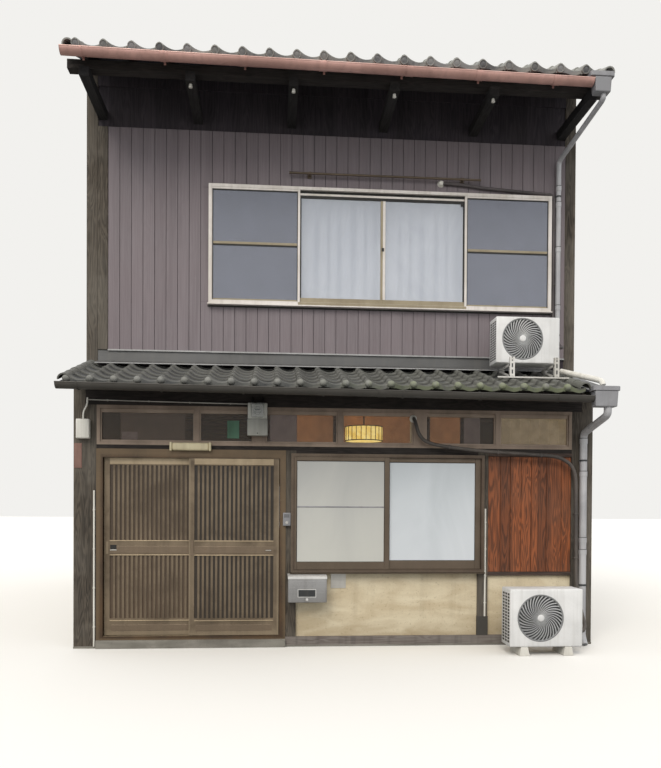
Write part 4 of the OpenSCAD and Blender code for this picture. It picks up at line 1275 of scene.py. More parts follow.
@dataclass
class PantileSlope:
    """One slope of pantiles laid in courses from the eave up."""

    name: str
    start: tuple[float, float]
    angle: float
    length: float
    pitch: float
    roll: float
    first_x: float
    columns: int
    span: Span
    finish: Finish
    over: float = 0.04
    lap: float = 0.035
    lean: float = 0.5
    course: float = 0.235
    thick: float = 0.015
    seat: float = 0.014
    # How dark the painted shade on each tile's upper part is.
    shadow: float = 0.0
    rear: bool = False
    ball: bool = False
    seed: int = 1

    def lift(self, share: float) -> float:
        """Give the height of a tile's face across its width.

        Args:
            share: The way over, from the steep edge of the roll.

        Returns:
            The height in metres.
        """
        for (a, low), (b, high) in zip(TILE_WAVE, TILE_WAVE[1:]):
            if share <= b:
                return (low + (high - low) * (share - a) / (b - a)) * self.roll
        return TILE_WAVE[-1][1] * self.roll

    def tile(self) -> Thing:
        """Model one tile with its steep roll, its trough and its thickness, and painted shade on its upper
        part under the next course when the slope has a shadow.
        """
        steps = [share for share, _ in TILE_WAVE]
        long = self.course + self.lap
        rows = (0.0, 0.70 * self.course, 0.86 * self.course, long) if self.shadow else (0.0, long)
        made = grid("tile", len(steps) - 1, len(rows) - 1)
        dim: list[float] = []
        for vertex in made.data.vertices:
            share = steps[round((vertex.co.x + 1) / 2 * (len(steps) - 1))]
            row = round((vertex.co.y + 1) / 2 * (len(rows) - 1))
            far = rows[row]
            rise = self.thick * 1.05 * (1 - far / self.course)
            vertex.co = (share * self.pitch, far, self.seat + rise + self.lift(share))
            # The upper part of each tile, under the next course, gets painted shade.
            dim.append(self.shadow if row > 1 else 0.0)
        mark(made, "dim", dim)
        return smooth(shape(made, "SOLIDIFY", thickness=self.thick, offset=-1.0), 50)

    def front(self) -> Thing:
        """Model the lip and the round cap of an eave tile."""
        steps = [i / 10 for i in range(11)]
        base = self.seat + self.thick
        top = [(share * self.pitch, base + self.lift(share)) for share in steps]
        low = [(share * self.pitch, base + min(self.lift(share), self.roll * 0.3) - 0.036
                - 0.006 * math.sin(math.pi * share)) for share in reversed(steps)]
        lip = round_edges(slab("lip", top + low, (-0.004, 0.013)), 0.003)
        middle = (self.pitch * 0.15, -0.004, self.seat + self.roll * 0.52)
        radius = self.roll * 0.66
        turned = ((0.0, -0.012), (0.3, -0.012), (0.72, -0.009), (0.78, -0.014), (0.94, -0.014), (1.0, -0.008),
                  (1.0, 0.02), (0.0, 0.02))
        if self.ball:
            turned = ((0.0, -0.030), (0.5, -0.026), (0.87, -0.015), (1.0, 0.0), (1.0, 0.02), (0.0, 0.02))
        cap = lathe("cap", [(radius * share, far) for share, far in turned], middle, Axis.Y, 16)
        if self.ball:
            mark(lip, "dim", [-0.35] * len(lip.data.vertices))
            mark(cap, "dim", [-0.6] * len(cap.data.vertices))
        return join("front", [lip, cap])

    def barrel(self) -> Thing:
        """Model one half-round tile of the verge."""
        made = grid("barrel", 8, 1)
        for vertex in made.data.vertices:
            turn = math.pi * (1 - (vertex.co.x + 1) / 2)
            low = vertex.co.y < 0
            radius = 0.058 if low else 0.050
            far = -0.012 if low else self.course + 0.03
            vertex.co = (radius * math.cos(turn), far, self.roll * 0.45 + radius * math.sin(turn))
        return smooth(shape(made, "SOLIDIFY", thickness=0.012, offset=-1.0), 50)

    def build(self, node: str = "") -> Thing:
        """Lay every tile, each with its own shade and a slight lean.

        Args:
            node: The solid that this slope stands for, if any.

        Returns:
            The slope.
        """
        chance = random.Random(self.seed)
        y, z = self.start
        turn = Matrix.Rotation(self.angle, 4, "X")
        base = Matrix.Translation((0, y, z)) @ turn
        if self.rear:
            base = Matrix.Translation((0, 2 * HOUSE.ridge_y - y, z)) @ Matrix.Rotation(math.pi, 4, "Z") @ turn
        tile, front, barrel = self.tile(), self.front(), self.barrel()
        laid: list[Thing] = []
        rows = math.ceil((self.length + self.over - 0.02) / self.course)
        for row in range(rows):
            far = row * self.course - self.over
            for column in range(self.columns):
                x = self.first_x + column * self.pitch
                lean = Matrix.Rotation(math.radians(chance.uniform(-self.lean, self.lean)), 4, "Z")
                jog = Vector((x + chance.uniform(-0.0015, 0.0015), far + chance.uniform(-0.003, 0.003),
                              chance.uniform(0.0, 0.0025)))
                laid.append(self._lay(tile, base @ Matrix.Translation(jog) @ lean, chance.random()))
                if row == 0:
                    laid.append(self._lay(front, base @ Matrix.Translation((x, far, 0)), chance.random()))
            for edge in self.span:
                side = 0.052 if edge == self.span[0] else -0.052
                place = Matrix.Translation((edge + side, far, chance.uniform(0, 0.003)))
                laid.append(self._lay(barrel, base @ place, chance.random()))
        for first in (tile, front, barrel):
            bpy.data.objects.remove(first, do_unlink=True)
        made = join(self.name, laid)
        self._trim(made, y)
        return fit(made, self.finish, instead_of=[node] if node else [])

    def _lay(self, piece: Thing, place: Matrix, shade: float) -> Thing:
        """Copy a tile to its place and keep its own shade on it.

        Args:
            piece: The tile.
            place: Its place and turn.
            shade: Its shade, from 0 to 1.

        Returns:
            The copy.
        """
        made = twin(piece)
        made.matrix_world = place
        return mark(made, "shade", [shade] * len(made.data.vertices))

    def _trim(self, made: Thing, y: float) -> None:
        """Cut off what runs past the top of the slope.

        Args:
            made: The slope.
            y: Where its eave is.
        """
        top = y + self.length * math.cos(self.angle)
        side = -1 if self.rear else 1
        at = (0.0, 2 * HOUSE.ridge_y - top if self.rear else top, 0.0)
        mesh = bmesh.new()
        mesh.from_mesh(made.data)
        parts = [*mesh.verts, *mesh.edges, *mesh.faces]
        bmesh.ops.bisect_plane(mesh, geom=parts, plane_co=at, plane_no=(0, side, 0), clear_outer=True)
        mesh.to_mesh(made.data)
        mesh.free()


@dataclass
class Ridge:
    """The ridge: flat courses, round caps and plain end tiles."""

    base: float = 7.7645
    half: float = 0.120
    cap_r: float = 0.075
    length: float = 0.285

    def build(self) -> None:
        """Model the ridge and lay its tiles."""
        span = 2 * HOUSE.half_w
        count = round(span / self.length)
        step = span / count
        boxes: list[Box] = []
        layers = ((0.0, -0.030, 0.026), (0.010, 0.028, 0.056), (0.022, 0.058, 0.088), (0.034, 0.090, 0.120))
        for level, (less, low, high) in enumerate(layers):
            half = self.half - less
            for i in range(count + level % 2):
                left = -HOUSE.half_w + (i - 0.5 * (level % 2)) * step
                ends = (max(left + 0.002, -HOUSE.half_w), min(left + step - 0.002, HOUSE.half_w))
                boxes.append(((ends[0], HOUSE.ridge_y - half, self.base + low),
                              (ends[1], HOUSE.ridge_y + half, self.base + high)))
        courses = blocks("ridge_courses", boxes, 0.004)
        caps = []
        for i in range(count):
            left = -HOUSE.half_w + i * step
            r = self.cap_r
            profile = [(r - 0.008, 0.004), (r - 0.006, step - 0.050), (r, step - 0.048), (r, step - 0.003),
                       (r - 0.014, step - 0.003)]
            caps.append(lathe("cap", profile, (left, HOUSE.ridge_y, self.base + 0.120), Axis.X, 32))
        for side in (-1, 1):
            x = side * (HOUSE.half_w - 0.012)
            profile = [(0.0, -0.012), (0.050, -0.012), (0.056, -0.018), (0.068, -0.018), (0.074, -0.010),
                       (0.074, 0.012), (0.0, 0.012)]
            if side > 0:
                profile = [(radius, -far) for radius, far in profile]
            caps.append(lathe("end", profile, (x, HOUSE.ridge_y, self.base + 0.120), Axis.X, 32))
        ridge = join("ridge_tiles", [courses, *caps])
        chance = random.Random(5)
        by_place: dict[int, float] = {}
        places = (int(vertex.co.x / step * 2) for vertex in ridge.data.vertices)
        mark(ridge, "shade", [by_place.setdefault(place, chance.random()) for place in places])
        fit(ridge, Shades.tiles, instead_of=["roof_ridge"])


@dataclass
class Siding:
    """Upright boards of the upper wall, front and rear."""

    pitch: float = 0.1190
    gap: float = 0.0050
    left: float = -2.410
    bottom: float = 3.050
    top: float = 5.380
    face: Span = (0.5, 0.515)
    window_lap: float = 0.025
    rear_z: Span = (2.90, 5.58)
    rear_face: Span = (7.892, 7.880)
    rear_hole: tuple[Span, Span] = ((-0.80, 0.80), (3.600, 4.700))
    seed: int = 3

    def _boards(self, span: Span, z: Span, hole: tuple[Span, Span], face: Span) -> list[Box]:
        """List the boards of a wall, cut round its window.

        Args:
            span: The wall's ends.
            z: Its foot and top.
            hole: The window's sides, then its foot and head.
            face: The depths of the boards' face and back.

        Returns:
            The boards' boxes.
        """
        chance = random.Random(self.seed)
        boxes: list[Box] = []
        count = round((span[1] - span[0]) / self.pitch)
        step = (span[1] - span[0]) / count
        (left, right), (low, high) = hole
        for i in range(count):
            a = span[0] + i * step + self.gap / 2
            b = span[0] + (i + 1) * step - self.gap / 4
            out = chance.uniform(0.0, 0.0018)
            front, back = (face[0] + out, face[1]) if face[0] < face[1] else (face[1], face[0] - out)
            pieces: list[tuple[Span, Span]] = [((a, b), z)]
            if b > left and a < right:
                pieces = [((a, b), (z[0], low)), ((a, b), (high, z[1]))]
                if a < left - 0.01:
                    pieces.append(((a, left), (low, high)))
                if b > right + 0.01:
                    pieces.append(((right, b), (low, high)))
            boxes += [((x[0], front, v[0]), (x[1], back, v[1])) for x, v in pieces]
        return boxes

    def build(self) -> None:
        """Model the front boards, the corner strips and the rear boards."""
        x, z = HOUSE.upper_window_x, HOUSE.upper_window_z
        lap = self.window_lap
        hole = ((x[0] + lap, x[1] - lap), (z[0] + lap, z[1] - lap))
        front = self._boards((self.left, HOUSE.inner_x), (self.bottom, self.top), hole, self.face)
        fit(blocks("siding_boards", front, 0.0022), Shades.siding, instead_of=["upper_cladding"])
        strips = flats((0.4975, 0.515), (-HOUSE.inner_x, self.bottom, -2.4115, self.top))
        strips += flats((0.5, 0.508), (-HOUSE.half_w, 2.850, -HOUSE.inner_x - 0.001, 6.028),
                        (HOUSE.inner_x + 0.001, 2.850, HOUSE.half_w, 6.028))
        fit(blocks("corner_strips", strips, 0.003), Shades.dark_posts)
        low = HOUSE.pent_top(0.360) + HOUSE.pent_roll
        edges = [((-HOUSE.inner_x, 0.357, low - 0.004), (HOUSE.pent_right, 0.366, low + 0.006)),
                 ((self.left, 0.492, self.bottom - 0.010), (HOUSE.inner_x, 0.5025, self.bottom + 0.005))]
        fit(blocks("flashing_edges", edges, 0.001), Shades.edge_strip)
        rear = self._boards((-HOUSE.inner_x, HOUSE.inner_x), self.rear_z, self.rear_hole, self.rear_face)
        fit(blocks("rear_boards", rear, 0.0022), Shades.siding)
        belt = flats((7.880, 7.900), (-HOUSE.inner_x, 2.830, HOUSE.inner_x, 2.898))
        fit(blocks("rear_band", belt, 0.004), Shades.painted_shade_timbers)


@dataclass
class CedarPanel:
    """Charred cedar boards over the plaster, between two rails."""

    edges: tuple[float, ...] = (1.530, 1.661, 1.766, 1.882, 1.988, 2.147, 2.307, 2.410)
    z: Span = (0.750, 1.937)
    rail_h: float = 0.038

    def build(self) -> None:
        """Model the boards and the rails."""
        boxes: list[Box] = []
        chance = random.Random(8)
        for a, b in zip(self.edges, self.edges[1:]):
            front = 0.010 + chance.uniform(0, 0.003)
            boxes += flats((front, 0.030), (a + 0.0015, self.z[0], b - 0.0015, self.z[1]))
        fit(blocks("cedar_boards", boxes, 0.0025), Shades.cedar, instead_of=["cedar_panel"])
        left, right = self.edges[0], self.edges[-1]
        rails = flats((-0.002, 0.030), *((left, low, right, low + self.rail_h)
                                         for low in (self.z[0] - self.rail_h, self.z[1])))
        fit(blocks("cedar_rails", rails, 0.004, 2), Shades.rails)


@dataclass
class Entrance:
    """Fittings of the two lattice doors and their threshold."""

    leaf_w: float = 0.8945
    left_x: float = -2.342
    right_x: float = -1.5075
    low: float = 0.121
    high: float = 1.899
    middle: float = 0.916
    stile: float = 0.054
    track_y: Span = (0.015, 0.055)

    def _leaf(self, name: str, x: float, front: float, body: Body) -> None:
        """Model the pale faces of one door's rails and the ridges along them, whose lighter finish is a
        painted highlight.

        Args:
            name: The door's name.
            x: Its left side.
            front: The depth of its face.
            body: The door's body.
        """
        a, b = x + self.stile, x + self.leaf_w - self.stile
        middle, foot = self.middle + 0.022, self.low + 0.044
        faces = flats((front - 0.0025, front + 0.002), (a + 0.001, middle, b - 0.001, middle + 0.072))
        faces += flats((front - 0.0020, front + 0.002), (a + 0.012, foot, b - 0.012, foot + 0.060))
        fit(blocks(f"{name}_rail_faces", faces, 0.0018, 2), Shades.bronze_pale, body)
        ridges = [((a, front - 0.0055, z), (b, front + 0.001, z + 0.010))
                  for z in (self.middle, self.middle + 0.142, self.low + 0.140)]
        ridges.append(((a, front - 0.0035, self.high - 0.074), (b, front + 0.002, self.high - 0.012)))
        fit(blocks(f"{name}_ridges", ridges, 0.0015, 2), Shades.painted_highlight_bronze, body)

    def build(self) -> None:
        """Model both doors' fittings and the threshold's tracks."""
        self._leaf("left_door", self.left_x, 0.040, Body.LEFT_DOOR)
        self._leaf("right_door", self.right_x, 0.0, Body.RIGHT_DOOR)
        z = self.middle + 0.076
        cover = [((self.left_x + 0.0155, 0.0392, z - 0.061), (self.left_x + 0.0385, 0.042, z + 0.061))]
        fit(blocks("left_door_cover", cover, 0.0006), Shades.bronze_bars, Body.LEFT_DOOR)
        # A black block for the pull's recess: painted shade.
        slot = [((-2.283, 0.0364, 0.974), (-2.222, 0.041, 1.022))]
        fit(blocks("left_door_pull_painted_shade", slot, 0.0006), Shades.black, Body.LEFT_DOOR)
        pull = [((-2.285, 0.0340, 0.966), (-2.220, 0.041, 0.975))]
        fit(blocks("left_door_pull", pull, 0.0015, 2), Shades.steel, Body.LEFT_DOOR)
        knob = [(0.0, -0.010), (0.0055, -0.0095), (0.0065, -0.006), (0.0045, -0.003), (0.0045, 0.0),
                (0.0, 0.0)]
        grip = [lathe("knob", knob, (self.right_x + 0.030, -0.004, z + 0.020), Axis.Y, 20),
                blocks("lip", [((-0.745, -0.0110, 0.966), (-0.690, 0.001, 0.974))], 0.0015, 2)]
        fit(join("right_door_latch", grip), Shades.steel, Body.RIGHT_DOOR)
        tracks = [((-2.348, y - 0.004, 0.1148), (-0.607, y + 0.004, 0.1180)) for y in self.track_y]
        fit(blocks("threshold_tracks", tracks, 0.001), Shades.painted_highlight_bronze)


@dataclass
class Panes:
    """The ground window's sashes, the glass of the front, and what shows behind the transoms."""

    left: Span = (-0.437, 0.450)
    right: Span = (0.502, 1.389)
    left_z: Span = (0.855, 1.872)
    right_z: Span = (0.867, 1.867)

    def _pane(self, x: Span, y: float, z: Span) -> Box:
        """Give the box of a pane, 4 mm thick."""
        return ((x[0], y - 0.002, z[0]), (x[1], y + 0.002, z[1]))

    def _window(self) -> None:
        """Model both sashes of the ground window with their panes, the bar and the sill's edge."""
        low, high = 0.782, 1.911
        rails = members((-0.4605, 0.500), (-0.047, -0.027), (low, high), (0.0235, 0.050, 0.073, 0.039))
        rails += members((0.4715, 1.4455), (-0.024, -0.004), (low, high), (0.0305, 0.0565, 0.085, 0.044))
        fit(blocks("window_sash_rails", rails, 0.003, 2), Shades.window_grey,
            instead_of=["window_sashes"])
        pane = blocks("left_pane", [self._pane(self.left, -0.037, self.left_z)], 0.0008)
        fit(pane, Shades.frosted_left, instead_of=["front_glass"])
        pane = blocks("right_pane", [self._pane(self.right, -0.014, self.right_z)], 0.0008)
        fit(pane, Shades.frosted_right)
        bar = flats((-0.043, -0.031), (self.left[0], 1.403, self.left[1], 1.417))
        fit(blocks("pane_bar", bar, 0.002), Shades.hopper)
        x = HOUSE.window_x
        # The sill's edge takes the lighter bronze: a painted highlight.
        edge = [((x[0] - 0.010, -0.062, 0.741), (x[1] + 0.010, -0.002, 0.750))]
        fit(blocks("window_sill_edge", edge, 0.002), Shades.painted_highlight_bronze)
        beads = members(self.left, (-0.043, -0.0385), self.left_z, (0.005,) * 4)
        beads += members(self.right, (-0.020, -0.0155), self.right_z, (0.005,) * 4)
        fit(blocks("pane_beads", beads, 0.0008), Shades.black)

    def build(self) -> None:
        """Model the ground window, the transoms' inner sashes and panes, and the boards behind them, which
        glow with painted light.
        """
        self._window()
        spans = [(-2.375, -1.456), (-1.406, -0.877), (-0.749, -0.025), (0.025, 0.749), (0.877, 1.601),
                 (1.651, 2.375)]
        z = (2.049, 2.371)
        low, high = 2.020, 2.395
        panes = [self._pane(x, 0.032, z) for x in spans]
        fit(blocks("transom_panes", panes, 0.0008), Shades.transom)
        rails = [box for x in spans for box in members(x, (0.012, 0.0298), z, (0.014, 0.014, 0.016, 0.038))]
        fit(blocks("transom_inner_rails", rails, 0.002), Shades.transom_bronze)
        lefts = [1.696 + i * 0.1030 for i in range(7)]
        boards = flats((0.110, 0.125), *((a, low, a + 0.1005, high) for a in lefts))
        lit = flats((0.115, 0.125), (-0.432, low, -0.063, high), (0.945, low, 1.261, high))
        lit += flats((1.300, 1.312), (0.130, 2.130, 0.980, 2.830))
        pale = flats((0.115, 0.125), (1.303, low, 1.473, high), (-0.707, low, -0.434, high))
        pale += flats((0.100, 0.1125), (-2.187, 2.060, -2.029, 2.152))
        # Each board behind the transoms glows with painted light.
        for name, boxes, bevel, finish in (
            ("inner_boards", boards, 0.003, Shades.painted_glow_beige),
            ("painted_glow_boards", lit, 0.003, Shades.painted_glow_wall),
            ("inner_boxes", pale, 0.004, Shades.pale_wall),
            ("painted_dim_glow_board", flats((0.113, 0.125), (-2.200, low, -1.560, high)), 0.004, Shades.painted_dim_glow_wall),
            ("inner_bar", flats((0.040, 0.064), (0.724, 2.045, 0.776, high)), 0.003, Shades.painted_glow_beige),
        ):
            fit(blocks(name, boxes, bevel), finish)


@dataclass
class UpperWindow:
    """Sashes, panes, fly screens and curtains of the upper window."""

    left: float = -1.3305
    share: float = 0.9115
    lap: float = 0.021
    low: float = 3.587
    high: float = 4.778
    middle: float = 4.1825
    outer_y: Span = (0.453, 0.473)
    inner_y: Span = (0.476, 0.496)
    curtain_y: float = 0.632
    curtain_foot: float = 3.600
    curtain_h: float = 1.185
    fold: float = 0.135
    depth: float = 0.044

    def _span(self, i: int) -> Span:
        """Give where a sash starts and ends."""
        return (self.left + i * self.share - (self.lap if i == 3 else 0.0),
                self.left + (i + 1) * self.share + (self.lap if i == 0 else 0.0))

    def _outer(self, i: int, cream: list[Box], dark: list[Box], olive: list[Box]) -> Box:
        """List an outer sash's members.

        Args:
            i: The sash's number from the left.
            cream: The list of the pale members.
            dark: The list of the dark lines: gaskets, and painted shade in gaps and under bars.
            olive: The list of the feet and bars.

        Returns:
            The box of its glass.
        """
        a, b = self._span(i)
        jamb, meet = (0.006, 0.025) if i == 0 else (0.025, 0.006)
        cream += members((a, b), self.outer_y, (self.low, self.high), (jamb, meet, 0.006, 0.020))
        x, z = (a + jamb, b - meet), (self.low + 0.006, self.high - 0.020)
        wide = (0.010, 0.008) if i == 0 else (0.008, 0.010)
        # Dark lines inside the pale members: partly the screen's dark frame, partly painted shade under the
        # head and beside the meeting stile.
        dark += members(x, (0.457, 0.472), z, (*wide, 0.0, 0.014))
        x, z = (x[0] + wide[0], x[1] - wide[1]), (z[0], z[1] - 0.014)
        olive.append(((x[0], 0.456, z[0]), (x[1], 0.472, z[0] + 0.015)))
        olive.append(((x[0], 0.4545, self.middle), (x[1], 0.472, self.middle + 0.026)))
        # A dark line under the middle bar: painted shade.
        dark.append(((x[0], 0.458, self.middle - 0.018), (x[1], 0.472, self.middle)))
        return ((x[0], 0.463, z[0] + 0.015), (x[1], 0.466, z[1]))

    def _inner(self, i: int, cream: list[Box], dark: list[Box], olive: list[Box]) -> Box:
        """List an inner sash's members.

        Args:
            i: The sash's number from the left.
            cream: The list of the pale members.
            dark: The list of the dark lines: gaskets, and painted shade in gaps and under bars.
            olive: The list of the feet and bars.

        Returns:
            The box of its glass.
        """
        a, b = self._span(i)
        y = self.inner_y
        z = (self.low + 0.053, self.high - 0.028)
        # The dark blocks of an inner sash, in the head's recess, under the top rail and at one stile, are
        # painted shade.
        dark.append(((a, y[0] + 0.006, z[1]), (b, y[1], self.high)))
        cream.append(((a, y[0], z[1] - 0.022), (b, y[1], z[1])))
        dark.append(((a, y[0] + 0.005, z[1] - 0.052), (b, y[1], z[1] - 0.022)))
        olive.append(((a, y[0], self.low), (b, y[1], z[0])))
        left, right = ((cream, 0.028), (dark, 0.034)) if i == 2 else ((dark, 0.034), (olive, 0.024))
        left[0].append(((a, y[0], z[0]), (a + left[1], y[1], z[1] - 0.052)))
        right[0].append(((b - right[1], y[0], z[0]), (b, y[1], z[1] - 0.052)))
        return ((a + left[1], 0.485, z[0]), (b - right[1], 0.488, z[1] - 0.052))

    def _curtain(self, i: int) -> Thing:
        """Model one gathered curtain whose folds open towards its hem, with painted shade kept in its folds'
        hollows and under its head.

        Args:
            i: Its number from the left.

        Returns:
            The curtain.
        """
        a = self.left + i * self.share + 0.030
        b = a + self.share - 0.012
        chance = random.Random(40 + i)
        made = grid(f"curtain_{i + 1}", 130, 26)
        starts = [chance.uniform(-0.5, 0.5) for _ in range(12)]
        folds: list[float] = []
        for vertex in made.data.vertices:
            u, v = (vertex.co.x + 1) / 2, (vertex.co.y + 1) / 2
            count = u * (b - a) / self.fold
            own = starts[int(count) % 12]
            wave = math.sin(math.tau * count + 0.8 * math.sin(2.1 * count + i))
            wave = math.copysign(abs(wave) ** 0.75, wave)
            grow = min(1.0, 0.30 + 1.6 * (1 - v)) if v > 0.08 else 1.0
            drop = 0.5 + 0.5 * own * (1 - v)
            sway = 0.006 * math.sin(math.tau * (count * 0.5 + 0.3 * v) + own)
            y = self.curtain_y + self.depth * 0.5 * wave * grow * (0.85 + 0.3 * drop) + sway
            x = a + u * (b - a) + 0.010 * math.sin(math.tau * count + 1.2) * grow
            vertex.co = (x, y, self.curtain_foot + v * self.curtain_h)
            # The fold value is painted shade: deepest in each fold's hollow and in a band under the head.
            folds.append((0.5 + 0.5 * wave) * (0.4 + 0.6 * grow) + (0.9 if v > 0.94 else 0.0))
        return smooth(mark(made, "fold", folds), 180)

    def build(self) -> None:
        """Model the sashes, the panes, the screens, the curtain rail and the curtains."""
        cream: list[Box] = []
        dark: list[Box] = []
        middle = (self.left + self.share, self.left + 3 * self.share)
        olive = flats((0.4485, 0.452), (middle[0], 3.559, middle[1], 3.586))
        clear, screens = [], []
        for i in range(4):
            sash = self._outer if i in (0, 3) else self._inner
            low, high = sash(i, cream, dark, olive)
            clear.append((low, high))
            if i in (0, 3):
                screens += flats((0.4600, 0.4608), (low[0], low[2], high[0], high[2]))
        fit(blocks("upper_sashes", cream, 0.0015), Shades.beige,
            instead_of=["upper_window_sashes"])
        fit(blocks("upper_sash_feet", olive, 0.0015), Shades.olive)
        # A dark strip under the window's sill: painted shadow.
        dark.append(((-1.375, 0.4965, 3.526), (2.360, 0.5002, 3.543)))
        fit(blocks("upper_dark_lines_painted_shade", dark, 0.0008), Shades.black)
        fit(blocks("upper_panes", clear, 0.0006), Shades.clear,
            instead_of=["upper_window_glass"])
        fit(blocks("upper_screens", screens, 0.0), Shades.screen)
        x = self.left + 2 * self.share
        latches = flats((0.470, 0.480), (x + 0.850, 4.672, x + 0.876, 4.716),
                        (x - 0.012, 4.160, x + 0.014, 4.196))
        fit(blocks("upper_latches", latches, 0.003, 2), Shades.black)
        rails = flats((0.606, 0.662), (-1.318, 4.800, 2.303, 4.812))
        rails += flats((0.622, 0.642), (-1.318, 4.786, 2.303, 4.801))
        rail = fit(blocks("curtain_rail", rails, 0.002, 2), Shades.white_plastic,
                   instead_of=["upper_curtains"])
        for i in range(4):
            cloth = fit(self._curtain(i), Shades.curtain)


@dataclass
class OutdoorUnit:
    """An outdoor unit of an air conditioner: casing, guard, fan, feet and valve cover."""

    name: str
    x: float
    y: float
    z: float
    size: Point
    fan: tuple[float, float]
    radius: float
    feet: bool
    node: str
    blades: int = 34
    louvre_rows: int = 16
    foot_x: Span = (0.090, 0.520)

    def _casing(self) -> None:
        """Model the rounded casing with its round opening, and black blocks of painted shade for its side
        louvres.
        """
        w, d, h = self.size
        x, y, z = self.x, self.y, self.z
        shell = blocks("shell", [((x, y, z), (x + w, y + d, z + h))], 0.010, 3)
        cutter = rod("cutter", (x + self.fan[0], y - 0.02, z + self.fan[1]),
                     (x + self.fan[0], y + 0.060, z + self.fan[1]), self.radius - 0.002, 72)
        shape(shell, "BOOLEAN", operation="DIFFERENCE", object=cutter, solver="EXACT")
        bpy.data.objects.remove(cutter, do_unlink=True)
        shell.name = f"{self.name}_casing"
        fit(smooth(shell, 30), Shades.casing, instead_of=[self.node])
        pitch = (h - 0.070) / self.louvre_rows
        louvre_painted_shade: list[Box] = []
        for i in range(self.louvre_rows):
            low = z + 0.038 + i * pitch
            for column in range(3):
                side = y + d * (0.10 + 0.28 * column)
                louvre_painted_shade.append(((x - 0.0010, side, low), (x + 0.002, side + d * 0.19, low + pitch * 0.66)))
        # The louvres' openings are black blocks: painted shade.
        fit(blocks(f"{self.name}_louvres", louvre_painted_shade, 0.0), Shades.black)

    def _blade(self, centre: Point) -> Thing:
        """Model one swept blade of the guard, which widens towards the rim.

        Args:
            centre: The guard's middle.

        Returns:
            The blade.
        """
        made = grid("blade", 9, 1)
        inner, outer = 0.028, self.radius - 0.003
        for vertex in made.data.vertices:
            t = (vertex.co.x + 1) / 2
            far = inner + t * (outer - inner)
            half = (0.0022 + 0.0052 * t) / far
            turn = -0.95 * t**0.85 + (half if vertex.co.y > 0 else -half)
            bulge = -0.010 * (1 - (far / outer) ** 2)
            lean = 0.003 if vertex.co.y > 0 else 0.0
            vertex.co = (centre[0] + far * math.cos(turn), centre[1] + bulge + 0.004 + lean,
                         centre[2] + far * math.sin(turn))
        return shape(made, "SOLIDIFY", thickness=0.005, offset=0.0)

    def _guard(self) -> None:
        """Model the swirl of blades, the outer ring and the hub."""
        centre = (self.x + self.fan[0], self.y, self.z + self.fan[1])
        first = self._blade(centre)
        parts = []
        middle = Matrix.Translation(centre)
        for i in range(self.blades):
            made = twin(first)
            turn = Matrix.Rotation(math.tau * i / self.blades, 4, "Y")
            made.matrix_world = middle @ turn @ middle.inverted()
            parts.append(made)
        bpy.data.objects.remove(first, do_unlink=True)
        fit(smooth(join(f"{self.name}_guard", parts), 40), Shades.guard)
        r = self.radius
        edge = [(r - 0.008, 0.012), (r - 0.008, 0.001), (r - 0.003, -0.004), (r + 0.005, -0.004),
                (r + 0.009, 0.001), (r + 0.009, 0.006), (r - 0.008, 0.012)]
        fit(lathe(f"{self.name}_ring", edge, centre, Axis.Y, 72), Shades.guard_ring)
        hub = [(0.0, -0.016), (0.022, -0.0155), (0.030, -0.013), (0.034, -0.008), (0.035, 0.004),
               (0.0, 0.006)]
        fit(lathe(f"{self.name}_hub", hub, centre, Axis.Y, 40), Shades.casing)

    def _fan(self) -> None:
        """Model the grey fan in its throat."""
        centre = (self.x + self.fan[0], self.y + 0.030, self.z + self.fan[1])
        r = self.radius - 0.004
        throat = [(0.0, 0.024), (r, 0.024), (r, -0.022), (r - 0.006, -0.022), (r - 0.006, 0.020),
                  (0.0, 0.020)]
        boss = [(0.0, -0.006), (0.050, -0.004), (0.060, 0.004), (0.060, 0.022), (0.0, 0.022)]
        parts = [lathe("throat", throat, centre, Axis.Y, 64), lathe("boss", boss, centre, Axis.Y, 32)]
        for i in range(3):
            made = grid("blade", 6, 6)
            for vertex in made.data.vertices:
                t, s = (vertex.co.x + 1) / 2, (vertex.co.y + 1) / 2
                far = 0.055 + t * (r * 0.93 - 0.055)
                turn = math.tau * i / 3 + s * (1.05 + 0.25 * t) - 0.35 * t
                deep = 0.014 - 0.022 * s
                vertex.co = (centre[0] + far * math.cos(turn), centre[1] + deep,
                             centre[2] + far * math.sin(turn))
            parts.append(shape(made, "SOLIDIFY", thickness=0.002, offset=0.0))
        fit(smooth(join(f"{self.name}_fan", parts), 40), Shades.fan)

    def build(self) -> None:
        """Build the whole unit."""
        self._casing()
        self._guard()
        self._fan()
        w, d, h = self.size
        x, y, z = self.x, self.y, self.z
        low = z + (0.040 if self.feet else 0.100)
        cover = slab("cover", [(0, low), (0.033, low + 0.012), (0.033, low + 0.125), (0.012, low + 0.160),
                               (0, low + 0.160)], (y + 0.120, y + 0.220))
        cover.location = (x + w, 0, 0)
        fit(round_edges(settle(cover, f"{self.name}_valve_cover"), 0.004, 2), Shades.casing)
        if not self.feet:
            return
        feet = []
        for left in self.foot_x:
            a = x + left
            outline = [(a, 0.0), (a + 0.100, 0.0), (a + 0.100, 0.008), (a + 0.082, z - 0.002),
                       (a + 0.018, z - 0.002), (a, 0.008)]
            feet.append(round_edges(slab("foot", outline, (y - 0.010, y + d + 0.010)), 0.003, 2))
        fit(join(f"{self.name}_feet", feet), Shades.white_plastic)


